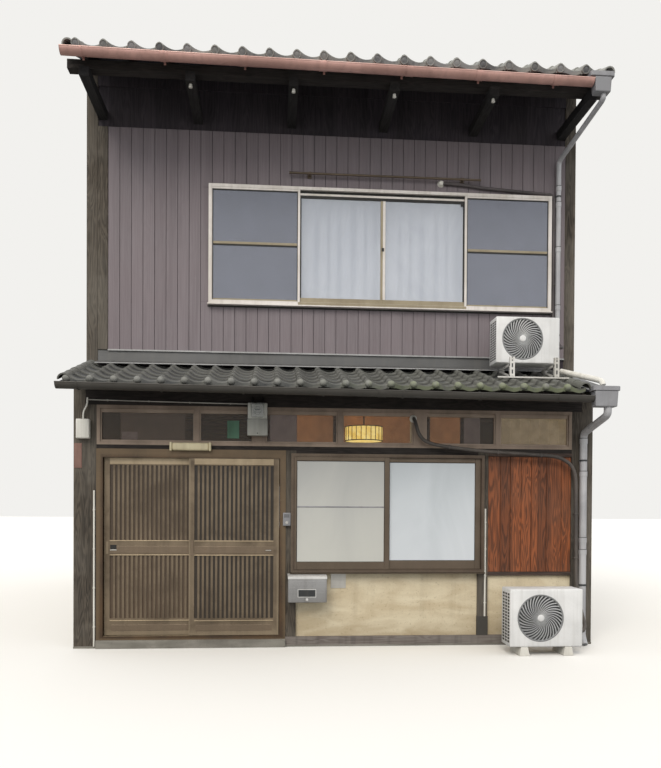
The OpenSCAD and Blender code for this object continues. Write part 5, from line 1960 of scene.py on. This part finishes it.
@dataclass
class UnitStand:
    """Steel stand that carries the upper unit over the pent roof."""

    legs: tuple[float, float] = (1.685, 2.143)
    leg_w: float = 0.052
    front: float = -0.190
    depth: float = 0.030
    rear: float = 0.180
    top: float = 2.925
    deck: float = 2.856
    steel: float = 0.003
    web: float = 0.022

    def _rests(self, y: float) -> float:
        """Give the height of the tile rolls at a depth."""
        return HOUSE.pent_top(y) + HOUSE.pent_roll

    def build(self) -> None:
        """Model the angle bars, dark blocks of painted shade in their slots, and the bolts."""
        bars: list[Thing] = []
        slots: list[Box] = []
        bolts: list[Thing] = []
        t = self.steel
        foot, heel = self._rests(self.front), self._rests(self.rear)
        head = [(0.0, -0.007), (0.0065, -0.007), (0.008, -0.005), (0.008, 0.0), (0.012, 0.0), (0.012, 0.0015),
                (0.0, 0.0015)]
        for x in self.legs:
            w = x + self.leg_w
            bars.append(blocks("leg", [
                ((x, self.front, foot), (w, self.front + t, self.top)),
                ((x, self.front, foot), (x + t, self.front + self.depth, self.top)),
                ((x, self.front, self.deck), (w, self.rear, self.deck + t)),
                ((x, self.front, self.deck - self.web), (x + t, self.rear, self.deck)),
                ((x, self.rear - self.depth, heel), (w, self.rear - self.depth + t, self.deck)),
            ], 0.0012))
            low = [(self.front, foot), (self.rear, heel), (self.rear, heel + t), (self.front, foot + t)]
            bars.append(slab("side", low, (x, w), Axis.X))
            web = [(a, b + (self.web if i > 1 else 0.0)) for i, (a, b) in enumerate(low)]
            bars.append(slab("side_web", web, (x, x + t), Axis.X))
            for z in (foot + 0.040, foot + 0.104, foot + 0.168):
                slots += flats((self.front - 0.0007, self.front + 0.0005),
                               (x + 0.019, z, x + 0.033, z + 0.040))
            brace = [(self.front + 0.010, self.deck - 0.004), (self.front + 0.034, self.deck - 0.004),
                     (self.rear - 0.03, heel + 0.020), (self.rear - 0.05, heel + 0.012)]
            bars.append(slab("brace", brace, (x + 0.004, x + 0.007), Axis.X))
            bolts += [lathe("bolt", head, (x + 0.026, self.front - 0.001, z), Axis.Y, 6)
                      for z in (self.top - 0.02, foot + 0.018)]
        rail = flats((self.front - 0.024, self.front - 0.021), (1.555, foot - 0.006, 2.288, foot + 0.010))
        rail += flats((self.front - 0.024, self.front - 0.001), (1.555, foot + 0.007, 2.288, foot + 0.010))
        bars.append(blocks("front_rail", rail, 0.001))
        fit(join("stand_bars", bars), Shades.white_steel, instead_of=["unit_stand"])
        # The slots are dark blocks on the bars: painted shade.
        fit(blocks("stand_slot_painted_shade", slots, 0.0), Shades.casing_dark)
        fit(join("stand_bolts", bolts), Shades.steel)


@dataclass
class Gutter:
    """One half-round gutter that falls to the right, with its joints, straps and their plates."""

    name: str
    y: float
    z: float
    finish: Finish
    lip_finish: Finish
    joints: tuple[float, ...]
    wall_y: float
    right: float
    node: str = ""
    radius: float = 0.058
    left: float = -2.642
    fall: float = 0.046 / 5.007
    strap_count: int = 7
    first_strap: float = -2.450
    strap_pitch: float = 0.748

    def _trough(self, x: Span, radius: float, wall: float) -> Thing:
        """Model a stretch of half pipe.

        Args:
            x: Its ends.
            radius: Its outer radius.
            wall: The thickness of its wall.

        Returns:
            The stretch.
        """
        turns = [math.pi + math.pi * i / 20 for i in range(21)]
        outline = [(self.y + r * math.cos(turn), self.z + r * math.sin(turn))
                   for r, way in ((radius, turns), (radius - wall, turns[::-1])) for turn in way]
        return slab("trough", outline, x, Axis.X)

    def _sunk(self, thing: Thing) -> Thing:
        """Lower each point of a piece by the gutter's fall up to there.

        Args:
            thing: The piece.

        Returns:
            The piece.
        """
        for vertex in thing.data.vertices:
            vertex.co.z -= self.fall * (vertex.co.x - self.left)
        return thing

    def build(self) -> None:
        """Model the trough, its rolled lips, caps, joints and straps."""
        r = self.radius
        parts = [self._trough((self.left, self.right), r, 0.0025)]
        for x in ((self.left, self.left + 0.004), (self.right - 0.004, self.right)):
            parts.append(self._trough(x, r, r - 0.002))
        for x in self.joints:
            parts.append(self._trough((x - 0.034, x + 0.034), r + 0.003, 0.0045))
            parts += [self._trough((a, a + 0.004), r + 0.0045, 0.004) for a in (x - 0.034, x + 0.030)]
        trough = self._sunk(smooth(join(f"{self.name}_gutter", parts), 40))
        fit(trough, self.finish, instead_of=[self.node] if self.node else [])
        lips = [rod("lip", (self.left, y, self.z - 0.003), (self.right, y, self.z - 0.003), 0.0065, 12)
                for y in (self.y - (r - 0.003), self.y + (r - 0.003))]
        # On the main gutter the lips' lighter finish is a painted highlight.
        edges = self._sunk(smooth(join(f"{self.name}_gutter_lips", lips), 40))
        fit(edges, self.lip_finish)
        straps: list[Thing] = []
        plates: list[Box] = []
        for i in range(self.strap_count):
            x = self.first_strap + i * self.strap_pitch
            straps.append(self._trough((x - 0.0075, x + 0.0075), r + 0.0055, 0.003))
            straps.append(blocks("arm", [((x - 0.0075, self.y - r - 0.005, self.z - 0.001),
                                          (x + 0.0075, self.wall_y, self.z + 0.002))], 0.0006))
            sunk = self.z - self.fall * (x - self.left)
            plates.append(((x - 0.010, self.wall_y - 0.003, sunk - r), (x + 0.010, self.wall_y, self.z)))
        straps = [self._sunk(join("straps", straps)), blocks("plates", plates, 0.0006)]
        fit(join(f"{self.name}_straps", straps), self.finish)


@dataclass
class RainPipes:
    """The rain boxes at the gutters' ends and the pipes below them."""

    half_y: float = 0.056
    upper: Span = (2.424, 0.462)
    upper_r: float = 0.026
    lower: Span = (2.5125, -0.049)
    lower_r: float = 0.037

    def _box(
        self, name: str, x: Span, z: tuple[float, float, float], top: Span, low: Span, y: float
    ) -> Thing:
        """Model a rain box: a deep rim with cut corners over a body that narrows a little.

        Args:
            name: Its name.
            x: The rim's left and right.
            z: The body's foot, its top and the rim's top.
            top: The body's left and right at its top.
            low: The same at its foot.
            y: The box's middle depth.

        Returns:
            The box.
        """
        cut, half = 0.014, self.half_y + 0.006
        (a, b), (near, far) = x, (y - half, y + half)
        edge = [(a + cut, near), (b - cut, near), (b, near + cut), (b, far - cut), (b - cut, far),
                (a + cut, far), (a, far - cut), (a, near + cut)]
        wide, slim = self.half_y, self.half_y - 0.006
        foot = ((low[0], y - slim, z[0]), (low[1], y + slim, z[0]))
        head = ((top[0], y - wide, z[1]), (top[1], y + wide, z[1]))
        rim = round_edges(slab("rim", edge, z[1:], Axis.Z), 0.004, 2)
        return join(name, [rim, taper("body", foot, head, 0.010)])

    def build(self) -> None:
        """Model both boxes, both pipes with their collars, clips and the forward shoe."""
        upper = self._box(
            "upper_rain_box", (2.365, 2.605), (5.442, 5.588, 5.634), (2.410, 2.578), (2.418, 2.570), -0.430)
        fit(upper, Shades.hopper, instead_of=["downpipes"])
        lower = self._box(
            "lower_rain_box", (2.365, 2.630), (2.382, 2.535, 2.579), (2.382, 2.613), (2.390, 2.605), -0.562)
        fit(lower, Shades.hopper)
        (upper_x, upper_y), upper_r = self.upper, self.upper_r
        (lower_x, lower_y), lower_r = self.lower, self.lower_r
        upper_route = [(2.515, -0.430, 5.450), (2.515, -0.430, 5.394), (upper_x, upper_y, 5.190),
                       (upper_x, upper_y, 2.925)]
        lower_route = [(2.530, -0.562, 2.390), (2.530, -0.562, 2.309), (lower_x, lower_y, 2.179),
                       (lower_x, lower_y, 0.105), (lower_x, -0.112, 0.012)]
        drain = [(2.267, -0.050, 2.812), (2.495, -0.500, 2.647), (2.500, -0.520, 2.600)]
        runs = [pipe("upper_run", rounded(upper_route, 0.050), upper_r, sides=6),
                pipe("lower_run", rounded(lower_route, 0.060), lower_r, sides=6)]
        sleeves = [((upper_x, upper_y, z), upper_r) for z in (4.896, 4.722, 4.233, 3.60)]
        sleeves += [((lower_x, lower_y, z), lower_r) for z in (1.763, 1.082, 0.959, 2.10, 0.15)]
        marks = []
        for (x, y, z), r in sleeves:
            ring = [(r - 0.002, -0.026), (r + 0.0035, -0.025), (r + 0.0035, 0.025), (r - 0.002, 0.026),
                    (r - 0.002, -0.026)]
            runs.append(lathe("sleeve", ring, (x, y, z), Axis.Z, 32))
            gap = band(r + 0.001, r + 0.0042, -0.003, 0.003)
            marks.append(lathe("joint", gap, (x, y, z + 0.028), Axis.Z, 32))
        fit(smooth(join("rain_pipes", runs), 40), Shades.grey_pipe)
        fit(pipe("unit_drain", rounded(drain, 0.050), 0.028, sides=6), Shades.white_plastic)
        clips = [(upper_x, upper_y, z, upper_r, 0.500) for z in (4.809, 3.30)]
        clips += [(lower_x, lower_y, z, lower_r, 0.000) for z in (1.90, 0.62)]
        for x, y, z, r, wall in clips:
            marks.append(lathe("clip", band(r - 0.001, r + 0.003, -0.009, 0.009), (x, y, z), Axis.Z, 28))
            stem = flats((y + r, wall + 0.002), (x - 0.004, z - 0.008, x + 0.004, z + 0.008))
            stem += flats((y - 0.004, y + 0.004), (x - r - 0.014, z - 0.009, x - r, z + 0.009))
            marks.append(blocks("stem", stem, 0.001))
        fit(join("pipe_clips", marks), Shades.casing_dark)


HOSE: list[Point] = [
    (0.745, 0.000, 2.31), (0.745, -0.030, 2.31), (0.751, -0.060, 2.285),
    *((x, -0.086, z) for x, z in (
        (0.764, 2.225), (0.790, 2.150), (0.834, 2.095), (0.906, 2.058), (1.006, 2.035), (1.210, 2.009),
        (1.439, 1.985), (1.640, 1.972), (1.834, 1.962), (2.000, 1.951), (2.148, 1.942), (2.240, 1.925),
        (2.306, 1.895), (2.356, 1.858), (2.390, 1.810), (2.410, 1.750), (2.418, 1.680), (2.422, 1.440),
        (2.426, 1.200), (2.428, 0.980), (2.430, 0.760))),
    (2.434, -0.098, 0.620), (2.436, -0.146, 0.480), (2.434, -0.226, 0.360), (2.420, -0.316, 0.280),
    (2.395, -0.386, 0.232), (2.355, -0.420, 0.205), (2.325, -0.420, 0.205),
]
UPPER_HOSE: list[Point] = [
    *((x, 0.482, z) for x, z in (
        (1.136, 4.913), (1.340, 4.906), (1.542, 4.885), (1.820, 4.866), (2.096, 4.850), (2.300, 4.840),
        (2.345, 4.836), (2.368, 4.820), (2.379, 4.790), (2.379, 4.700), (2.379, 4.320), (2.379, 3.940),
        (2.379, 3.560))),
    (2.379, 0.474, 3.440), (2.376, 0.432, 3.330), (2.370, 0.352, 3.230), (2.362, 0.252, 3.150),
    (2.350, 0.162, 3.105), (2.330, 0.100, 3.088), (2.300, 0.070, 3.081), (2.265, 0.070, 3.081),
]


@dataclass
class Lagging:
    """Taped refrigerant lines that run down the front to the outdoor units."""

    radius: float = 0.018

    def build(self) -> None:
        """Model both lines, their wall caps and their clips."""
        line = pipe("lower_lagging", HOSE, self.radius, bow=True, sides=5)
        fit(line, Shades.hose, instead_of=["hoses"])
        line = pipe("upper_lagging", UPPER_HOSE, self.radius, bow=True, sides=5)
        fit(line, Shades.upper_hose)
        cap = [(0.0, -0.036), (0.020, -0.035), (0.026, -0.028), (0.030, -0.010), (0.038, -0.002),
               (0.038, 0.0), (0.0, 0.0)]
        places = ((0.745, 0.000, 2.31), (1.126, 0.4995, 4.915))
        caps = [lathe("cap", cap, place, Axis.Y, 28) for place in places]
        fit(join("wall_caps", caps), Shades.white_plastic)
        clips = []
        band_y, stem_y = (-0.106, -0.064), (-0.068, 0.012)
        for x, z in ((1.10, 2.0225), (1.60, 1.9745), (2.05, 1.9475)):
            boxes = flats(band_y, (x - 0.008, z - 0.021, x + 0.008, z + 0.021))
            boxes += flats(stem_y, (x - 0.006, z - 0.004, x + 0.006, z + 0.004))
            clips.append(blocks("clip", boxes, 0.003))
        for z in (1.35, 0.90):
            boxes = flats(band_y, (2.403, z - 0.008, 2.446, z + 0.008))
            boxes += flats((-0.068, 0.001), (2.420, z - 0.004, 2.430, z + 0.004))
            clips.append(blocks("clip", boxes, 0.003))
        for z in (4.45, 3.85):
            clips.append(blocks("clip", flats((0.462, 0.500), (2.359, z - 0.008, 2.399, z + 0.008)), 0.003))
        fit(join("lagging_clips", clips), Shades.hose)


@dataclass
class Meter:
    """The electricity meter on the transom: terminal box, body, dial and its glass cover."""

    x: Span = (-0.930, -0.730)
    cover_x: Span = (-0.895, -0.765)
    cover_z: Span = (2.292, 2.428)

    def build(self) -> None:
        """Model the boxes, the dial under its cover and the entering lines."""
        a, b = self.x
        base = blocks("meter_base", [((a, -0.098, 2.112), (b, -0.001, 2.277))], 0.008, 3)
        fit(smooth(base), Shades.meter_dark, instead_of=["electric_meter"])
        body = blocks("meter_body", [((a + 0.003, -0.080, 2.276), (b - 0.003, -0.001, 2.440))], 0.012, 4)
        fit(smooth(body), Shades.meter)
        (left, right), (low, high) = self.cover_x, self.cover_z
        x, z = (left + right) / 2, (low + high) / 2
        face = flats((-0.084, -0.078), (left + 0.006, low + 0.006, right - 0.006, high - 0.006))
        fit(blocks("meter_face", face, 0.001), Shades.white_plastic)
        marks = flats((-0.0865, -0.083), (x - 0.026, z + 0.004, x + 0.026, z + 0.018),
                      (x - 0.030, z - 0.018, x + 0.030, z - 0.012))
        parts = [lathe("dial", band(0.036, 0.039, -0.0855, -0.083), (x, 0.0, z), Axis.Y, 40),
                 blocks("marks", marks, 0.0005)]
        fit(join("meter_marks", parts), Shades.casing_dark)
        cover = blocks("meter_glass", [((left, -0.130, low), (right, -0.0805, high))], 0.014, 4)
        fit(smooth(shape(cover, "SOLIDIFY", thickness=0.002, offset=-1.0)), Shades.meter_glass)
        routes = ([(u, -0.030, 2.435), (u, -0.030, 2.470), (u, 0.004, 2.500)] for u in (a + 0.050, b - 0.050))
        lines = [pipe("line", rounded(route, 0.03), 0.009) for route in routes]
        lines.append(rod("screw", (x, -0.104, 2.135), (x, -0.098, 2.135), 0.006, 16))
        fit(join("meter_lines", lines), Shades.black)


@dataclass
class Mailbox:
    """The steel mailbox beside the entrance, with its lid, window and lock."""

    x: Span = (-0.524, -0.134)

    def build(self) -> None:
        """Model the plain body, the thin sloping lid, the window and the lock."""
        a, b = self.x
        body = slab("body", [(-0.156, 0.462), (-0.002, 0.462), (-0.002, 0.728), (-0.156, 0.712)],
                    (a + 0.003, b - 0.003), Axis.X)
        fit(smooth(round_edges(settle(body, "mailbox_body"), 0.007, 3)), Shades.box,
            instead_of=["mailbox"])
        outline = [(-0.160, 0.694), (-0.156, 0.694), (-0.156, 0.713), (-0.002, 0.729), (-0.002, 0.738),
                   (-0.160, 0.720)]
        lid = slab("lid", outline, (a, b), Axis.X)
        lock = [(0.0, -0.005), (0.010, -0.005), (0.013, -0.002), (0.013, 0.002), (0.0, 0.002)]
        frame = members((a + 0.098, b - 0.110), (-0.1585, -0.155), (0.514, 0.594), (0.006,) * 4)
        trim = [round_edges(lid, 0.0025, 2), lathe("lock", lock, (-0.334, -0.156, 0.492), Axis.Y, 24),
                blocks("frame", frame, 0.001)]
        fit(join("mailbox_trim", trim), Shades.steel_light)
        window = [((a + 0.104, -0.1575, 0.520), (b - 0.116, -0.155, 0.588))]
        fit(blocks("mailbox_window", window, 0.001), Shades.casing_dark)


@dataclass
class Fittings:
    """Small fittings of the front: lamp, boxes, plates, conduits, rod and cables."""

    def _lamp(self) -> None:
        """Model the strip lamp over the entrance."""
        ends = [((x, -0.067, 1.956), (x + 0.022, -0.001, 2.042)) for x in (-1.692, -1.309)]
        lamp = [blocks("base", [((-1.690, -0.020, 1.990), (-1.289, 0.000, 2.040))], 0.004, 2),
                blocks("ends", ends, 0.006, 3)]
        fit(join("strip_lamp", lamp), Shades.cream, instead_of=["wall_fittings"])
        tube = blocks("strip_lamp_cover", [((-1.671, -0.063, 1.960), (-1.308, -0.012, 2.038))], 0.020, 5)
        fit(smooth(tube), Shades.cream)

    def _white(self) -> None:
        """Model the white box, the conduits and the door bell."""
        feed = [(-2.530, -0.030, 2.255), (-2.530, -0.030, 2.330), (-2.492, -0.030, 2.400),
                (-2.492, -0.022, 2.470)]
        white = [blocks("box", [((-2.594, -0.068, 2.067), (-2.465, -0.001, 2.258))], 0.010, 3),
                 blocks("box_lid", [((-2.588, -0.071, 2.073), (-2.471, -0.066, 2.252))], 0.004, 2),
                 pipe("feed", rounded(feed, 0.03), 0.008)]
        for x, low, high in ((-2.430, 0.020, 1.560), (1.499, 0.296, 1.400)):
            white.append(rod("conduit", (x, -0.009, low), (x, -0.009, high), 0.009, 20))
            heights = [low + (i + 0.5) * (high - low) / 4 for i in range(4)]
            clips = [((x - 0.013, -0.0195, z - 0.004), (x + 0.013, 0.000, z + 0.004)) for z in heights]
            white.append(blocks("saddle", clips, 0.003, 2))
        fit(smooth(join("white_fittings", white)), Shades.white_plastic)
        bell = blocks("door_bell", [((-0.573, -0.040, 1.218), (-0.495, -0.011, 1.349))], 0.006, 3)
        fit(smooth(bell), Shades.hopper)
        # The bell's slots are dark blocks: painted shade.
        dark = [((-0.560 + i * 0.009, -0.0412, 1.300), (-0.556 + i * 0.009, -0.039, 1.335)) for i in range(6)]
        fit(blocks("bell_slot_painted_shade", dark, 0.0), Shades.casing_dark)

    def _plates(self) -> None:
        """Model the steel plates, the post's cover, the plain sign and the plaque."""
        button = [(0.0, -0.004), (0.012, -0.004), (0.015, -0.001), (0.015, 0.002), (0.0, 0.002)]
        parts = [lathe("button", button, (-0.534, -0.040, 1.250), Axis.Y, 28)]
        small = [(0.0, -0.002), (0.004, -0.0015), (0.005, 0.0), (0.0, 0.0)]
        places = [(x, 0.024, z) for x in (-0.073, 0.056) for z in (0.595, 0.725)]
        places += [(x, -0.006, z) for x in (1.432, 1.523) for z in (0.111, 0.285)]
        parts += [lathe("screw", small, place, Axis.Y, 12) for place in places]
        parts.append(blocks("plate", [((-0.085, 0.0245, 0.585), (0.068, 0.030, 0.735))], 0.0012))
        fit(join("plates", parts), Shades.steel)
        cover = [((a, -0.0055, 0.100), (b, back, 0.296)) for a, b, back in (
            (1.421, 1.534, -0.0005), (1.421, 1.4225, 0.030), (1.5325, 1.534, 0.006))]
        fit(blocks("post_cover", cover, 0.0012), Shades.gutter)
        sign = flats((0.0245, 0.030), (-1.133, 2.091, -1.014, 2.269))
        fit(blocks("sign", sign, 0.0015), Shades.green)
        plaque = flats((-0.0058, -0.0002), (-2.625, 1.780, -2.550, 2.024))
        plaque += flats((-0.0068, -0.005), (-2.620, 1.786, -2.555, 2.018))
        fit(blocks("plaque", plaque, 0.0012), Shades.plaque)

    def _rod(self) -> None:
        """Model the drying rod over the upper window."""
        y, z = 0.450, 4.952
        bar = [rod("rod", (-0.509, y, z), (1.547, y, z), 0.012, 20)]
        eye = band(0.012, 0.017, -0.010, 0.010)
        for x in (-0.309, 1.347):
            bracket = flats((0.446, 0.500), (x, z - 0.007, x + 0.020, z + 0.007))
            bracket += flats((0.494, 0.500), (x - 0.012, z - 0.037, x + 0.032, z + 0.037))
            bar += [blocks("bracket", bracket, 0.002), lathe("eye", eye, (x + 0.010, y, z), Axis.X, 24)]
        bar += [rod("end", (x - 0.006, y, z), (x + 0.006, y, z), 0.015, 20) for x in (-0.509, 1.547)]
        fit(smooth(join("drying_rod", bar)), Shades.window_grey)

    def _eaves(self) -> None:
        """Model the cable under the pent roof and the knobs under the main eave."""
        route = [(x, -0.014, z) for x, z in (
            (-2.492, 2.452), (-2.100, 2.446), (-1.700, 2.441), (-1.300, 2.436), (-0.905, 2.432))]
        clips = [((x - 0.006, -0.022, z - 0.008), (x + 0.006, 0.001, z + 0.008))
                 for x, z in ((-2.30, 2.449), (-1.90, 2.4435), (-1.50, 2.4385), (-1.10, 2.434))]
        cable = [pipe("eave_cable", route, 0.006, bow=True), blocks("clips", clips, 0.002)]
        fit(join("eave_cables", cable), Shades.steel)
        profile = [(0.0, 0.0), (0.012, 0.0), (0.016, -0.008), (0.013, -0.016), (0.018, -0.024),
                   (0.018, -0.034), (0.010, -0.042), (0.0, -0.044)]
        places = [(x, -0.240, 5.4505) for x in (-1.4775, -0.4925, 0.4925, 1.4775)]
        knobs = [lathe("knob", profile, place, Axis.Z, 20) for place in places]
        fit(join("eave_knobs", knobs), Shades.white_plastic)

    def build(self) -> None:
        """Model every small fitting."""
        self._lamp()
        self._white()
        self._plates()
        self._rod()
        self._eaves()


@dataclass
class CeilingLamp:
    """The lit, ribbed lamp shade behind the middle transom."""

    centre: Point = (0.369, 1.050, 2.165)
    radius: float = 0.220
    height: float = 0.170
    ribs: int = 24

    def build(self) -> None:
        """Model the shade, its ribs, rims and rod."""
        x, y, z = self.centre
        r, h = self.radius, self.height
        shade = [(0.0, 0.004), (r - 0.012, 0.004), (r - 0.004, 0.010), (r - 0.004, h - 0.010),
                 (r - 0.012, h - 0.004), (0.05, h - 0.004)]
        fit(lathe("lamp_shade", shade, (x, y, z), Axis.Z, 48), Shades.lamp_glow,
            instead_of=["ceiling_lamp"])
        rose = [(0.0, 0.0), (0.035, 0.0), (0.045, 0.02), (0.045, 0.035), (0.0, 0.035)]
        parts = [rod("rod", (x, y, z + h - 0.01), (x, y, 2.620), 0.009, 16),
                 lathe("rose", rose, (x, y, 2.585), Axis.Z, 24)]
        for low in (0.0, h - 0.010):
            parts.append(lathe("ring", band(r - 0.006, r, low, low + 0.010), (x, y, z), Axis.Z, 48))
        for i in range(self.ribs):
            turn = math.tau * i / self.ribs
            a, b = x + (r - 0.003) * math.cos(turn), y + (r - 0.003) * math.sin(turn)
            parts.append(rod("rib", (a, b, z + 0.004), (a, b, z + h - 0.004), 0.004, 8))
        fit(join("lamp_frame", parts), Shades.rails)


@dataclass
class Studio:
    """The pale floor, the soft light and the camera."""

    focal_px: float = 744.5
    width_px: int = 661
    rise_px: float = 131.0
    sensor: float = 36.0
    place: Point = (-0.677, -7.5, 1.42)
    yaw: float = 4.45
    pitch: float = -0.70
    roll: float = 0.31
    pale: str = "f2f1ee"
    floor_tone: str = "8f8e8b"
    sky_tones: tuple[str, str] = ("ececea", "ffffff")
    sun_tone: str = "fff7ea"
    sun_power: float = 1.65
    sun_spread: float = 35.0
    sun_way: Point = (0.30, 0.80, -0.75)

    def floor(self) -> None:
        """Lay the floor, pale to the eye and darker as a source of bounced light."""
        deselect()
        bpy.ops.mesh.primitive_plane_add(size=120, location=(0, 20, -0.0005))
        made = settle(bpy.context.object, "studio_floor")
        look = bpy.data.materials.new("studio_floor")
        bench = fresh_bench(look)
        rays = bench.add("LightPath").outputs
        shader = bench.add("BsdfPrincipled")
        shader.inputs["Roughness"].default_value = 0.9
        colour = bench.mix(rays["Is Camera Ray"], tone(self.floor_tone), tone(self.pale))
        bench.feed(colour, shader.inputs["Base Color"])
        bench.feed(shader.outputs[0], bench.add("OutputMaterial").inputs["Surface"])
        made.data.materials.append(look)

    def light(self) -> None:
        """Light the house as on a bright day, softly from the front and the left."""
        world = bpy.data.worlds.new("studio")
        bpy.context.scene.world = world
        bench = fresh_bench(world)
        rays = bench.add("LightPath").outputs
        seen = bench.most(rays["Is Camera Ray"], rays["Is Transmission Ray"])
        up = bench.part(bench.add("TexCoord").outputs["Generated"], Axis.Z)
        sky = bench.mix(bench.between(up, -0.1, 0.8), *(tone(code) for code in self.sky_tones))
        back = bench.add("Background", {"Color": bench.mix(seen, sky, tone(self.pale))})
        bench.feed(back.outputs[0], bench.add("OutputWorld").inputs["Surface"])
        back.inputs["Strength"].default_value = 1.0
        sun = bpy.data.lights.new("sun", "SUN")
        sun.energy = self.sun_power
        sun.angle = math.radians(self.sun_spread)
        sun.color = tone(self.sun_tone)[:3]
        thing = linked(bpy.data.objects.new("sun", sun))
        thing.rotation_euler = Vector(self.sun_way).to_track_quat("-Z", "Y").to_euler()

    def camera(self) -> None:
        """Set the camera where the photograph was taken from."""
        data = bpy.data.cameras.new("camera")
        data.sensor_fit = "HORIZONTAL"
        data.sensor_width = self.sensor
        data.lens = self.focal_px / self.width_px * self.sensor
        data.shift_y = self.rise_px / self.width_px
        data.clip_end = 300
        yaw, pitch, roll = (math.radians(a) for a in (self.yaw, self.pitch, self.roll))
        ahead = Vector((math.sin(yaw) * math.cos(pitch), math.cos(yaw) * math.cos(pitch), math.sin(pitch)))
        side = Vector((math.cos(yaw), -math.sin(yaw), 0.0))
        up = side.cross(ahead)
        right = side * math.cos(roll) + up * math.sin(roll)
        above = up * math.cos(roll) - side * math.sin(roll)
        thing = linked(bpy.data.objects.new("camera", data))
        frame = Matrix((right, above, -ahead)).transposed().to_4x4()
        thing.matrix_world = Matrix.Translation(self.place) @ frame
        bpy.context.scene.camera = thing

    def build(self) -> None:
        """Set up the whole studio."""
        self.floor()
        self.light()
        self.camera()
        bpy.context.scene.view_settings.view_transform = "Standard"


def pantile_slopes() -> list[PantileSlope]:
    """Give the three slopes of pantiles."""
    eave = (HOUSE.eave_y, HOUSE.roof_top(HOUSE.eave_y))
    angle = math.atan(HOUSE.roof_slope)
    length = (HOUSE.ridge_y - HOUSE.eave_y - HOUSE.ridge_gap) / math.cos(angle)
    span = (-HOUSE.half_w, HOUSE.half_w)
    pent = math.atan(HOUSE.pent_slope)
    pent_eave = (-HOUSE.pent_out, HOUSE.pent_top(-HOUSE.pent_out))
    main_roof = (eave, angle, length, 0.2554, 0.060, -2.549, 20, span, Shades.tiles)
    return [
        PantileSlope("front_tiles", *main_roof, seed=11),
        PantileSlope("rear_tiles", *main_roof, rear=True, seed=12),
        PantileSlope("pent_tiles_laid", pent_eave, pent, HOUSE.pent_run / math.cos(pent), 0.2134, 0.0505,
                     -2.590, 23, (-HOUSE.half_w, HOUSE.pent_right), Shades.pent_tiles, course=0.208,
                     thick=0.012, seat=0.006, shadow=0.5, ball=True, seed=13),
    ]


def main() -> None:
    """Build every piece on the frame and set the studio."""
    logging.basicConfig(level=logging.INFO, format="%(name)s: %(message)s")
    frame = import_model()
    dress_frame(frame["nodes"])
    front, rear, pent = pantile_slopes()
    front.build("roof_tiles")
    rear.build()
    pent.build("pent_tiles")
    for group in (
        Ridge(),
        Siding(),
        CedarPanel(),
        Entrance(),
        Panes(),
        UpperWindow(),
        OutdoorUnit("lower_unit", 1.580, -0.590, 0.085, (0.710, 0.270, 0.550), (0.297, 0.275), 0.218, True,
                    "unit_lower"),
        OutdoorUnit("upper_unit", 1.573, -0.100, 2.881, (0.657, 0.240, 0.468), (0.272, 0.245), 0.205, False,
                    "unit_upper"),
        UnitStand(),
        Gutter("main", -0.430, 5.614, Shades.copper, Shades.copper_painted_highlight,
               (-1.702, -0.966, -0.221, 0.606, 1.281, 2.040), -0.360, 2.408, "gutters"),
        Gutter("pent", -0.562, 2.529, Shades.gutter, Shades.gutter, (0.341,), -0.500, 2.380),
        RainPipes(),
        Lagging(),
        Meter(),
        Mailbox(),
        Fittings(),
        CeilingLamp(),
        Studio(),
    ):
        group.build()


if __name__ == "__main__":
    main()
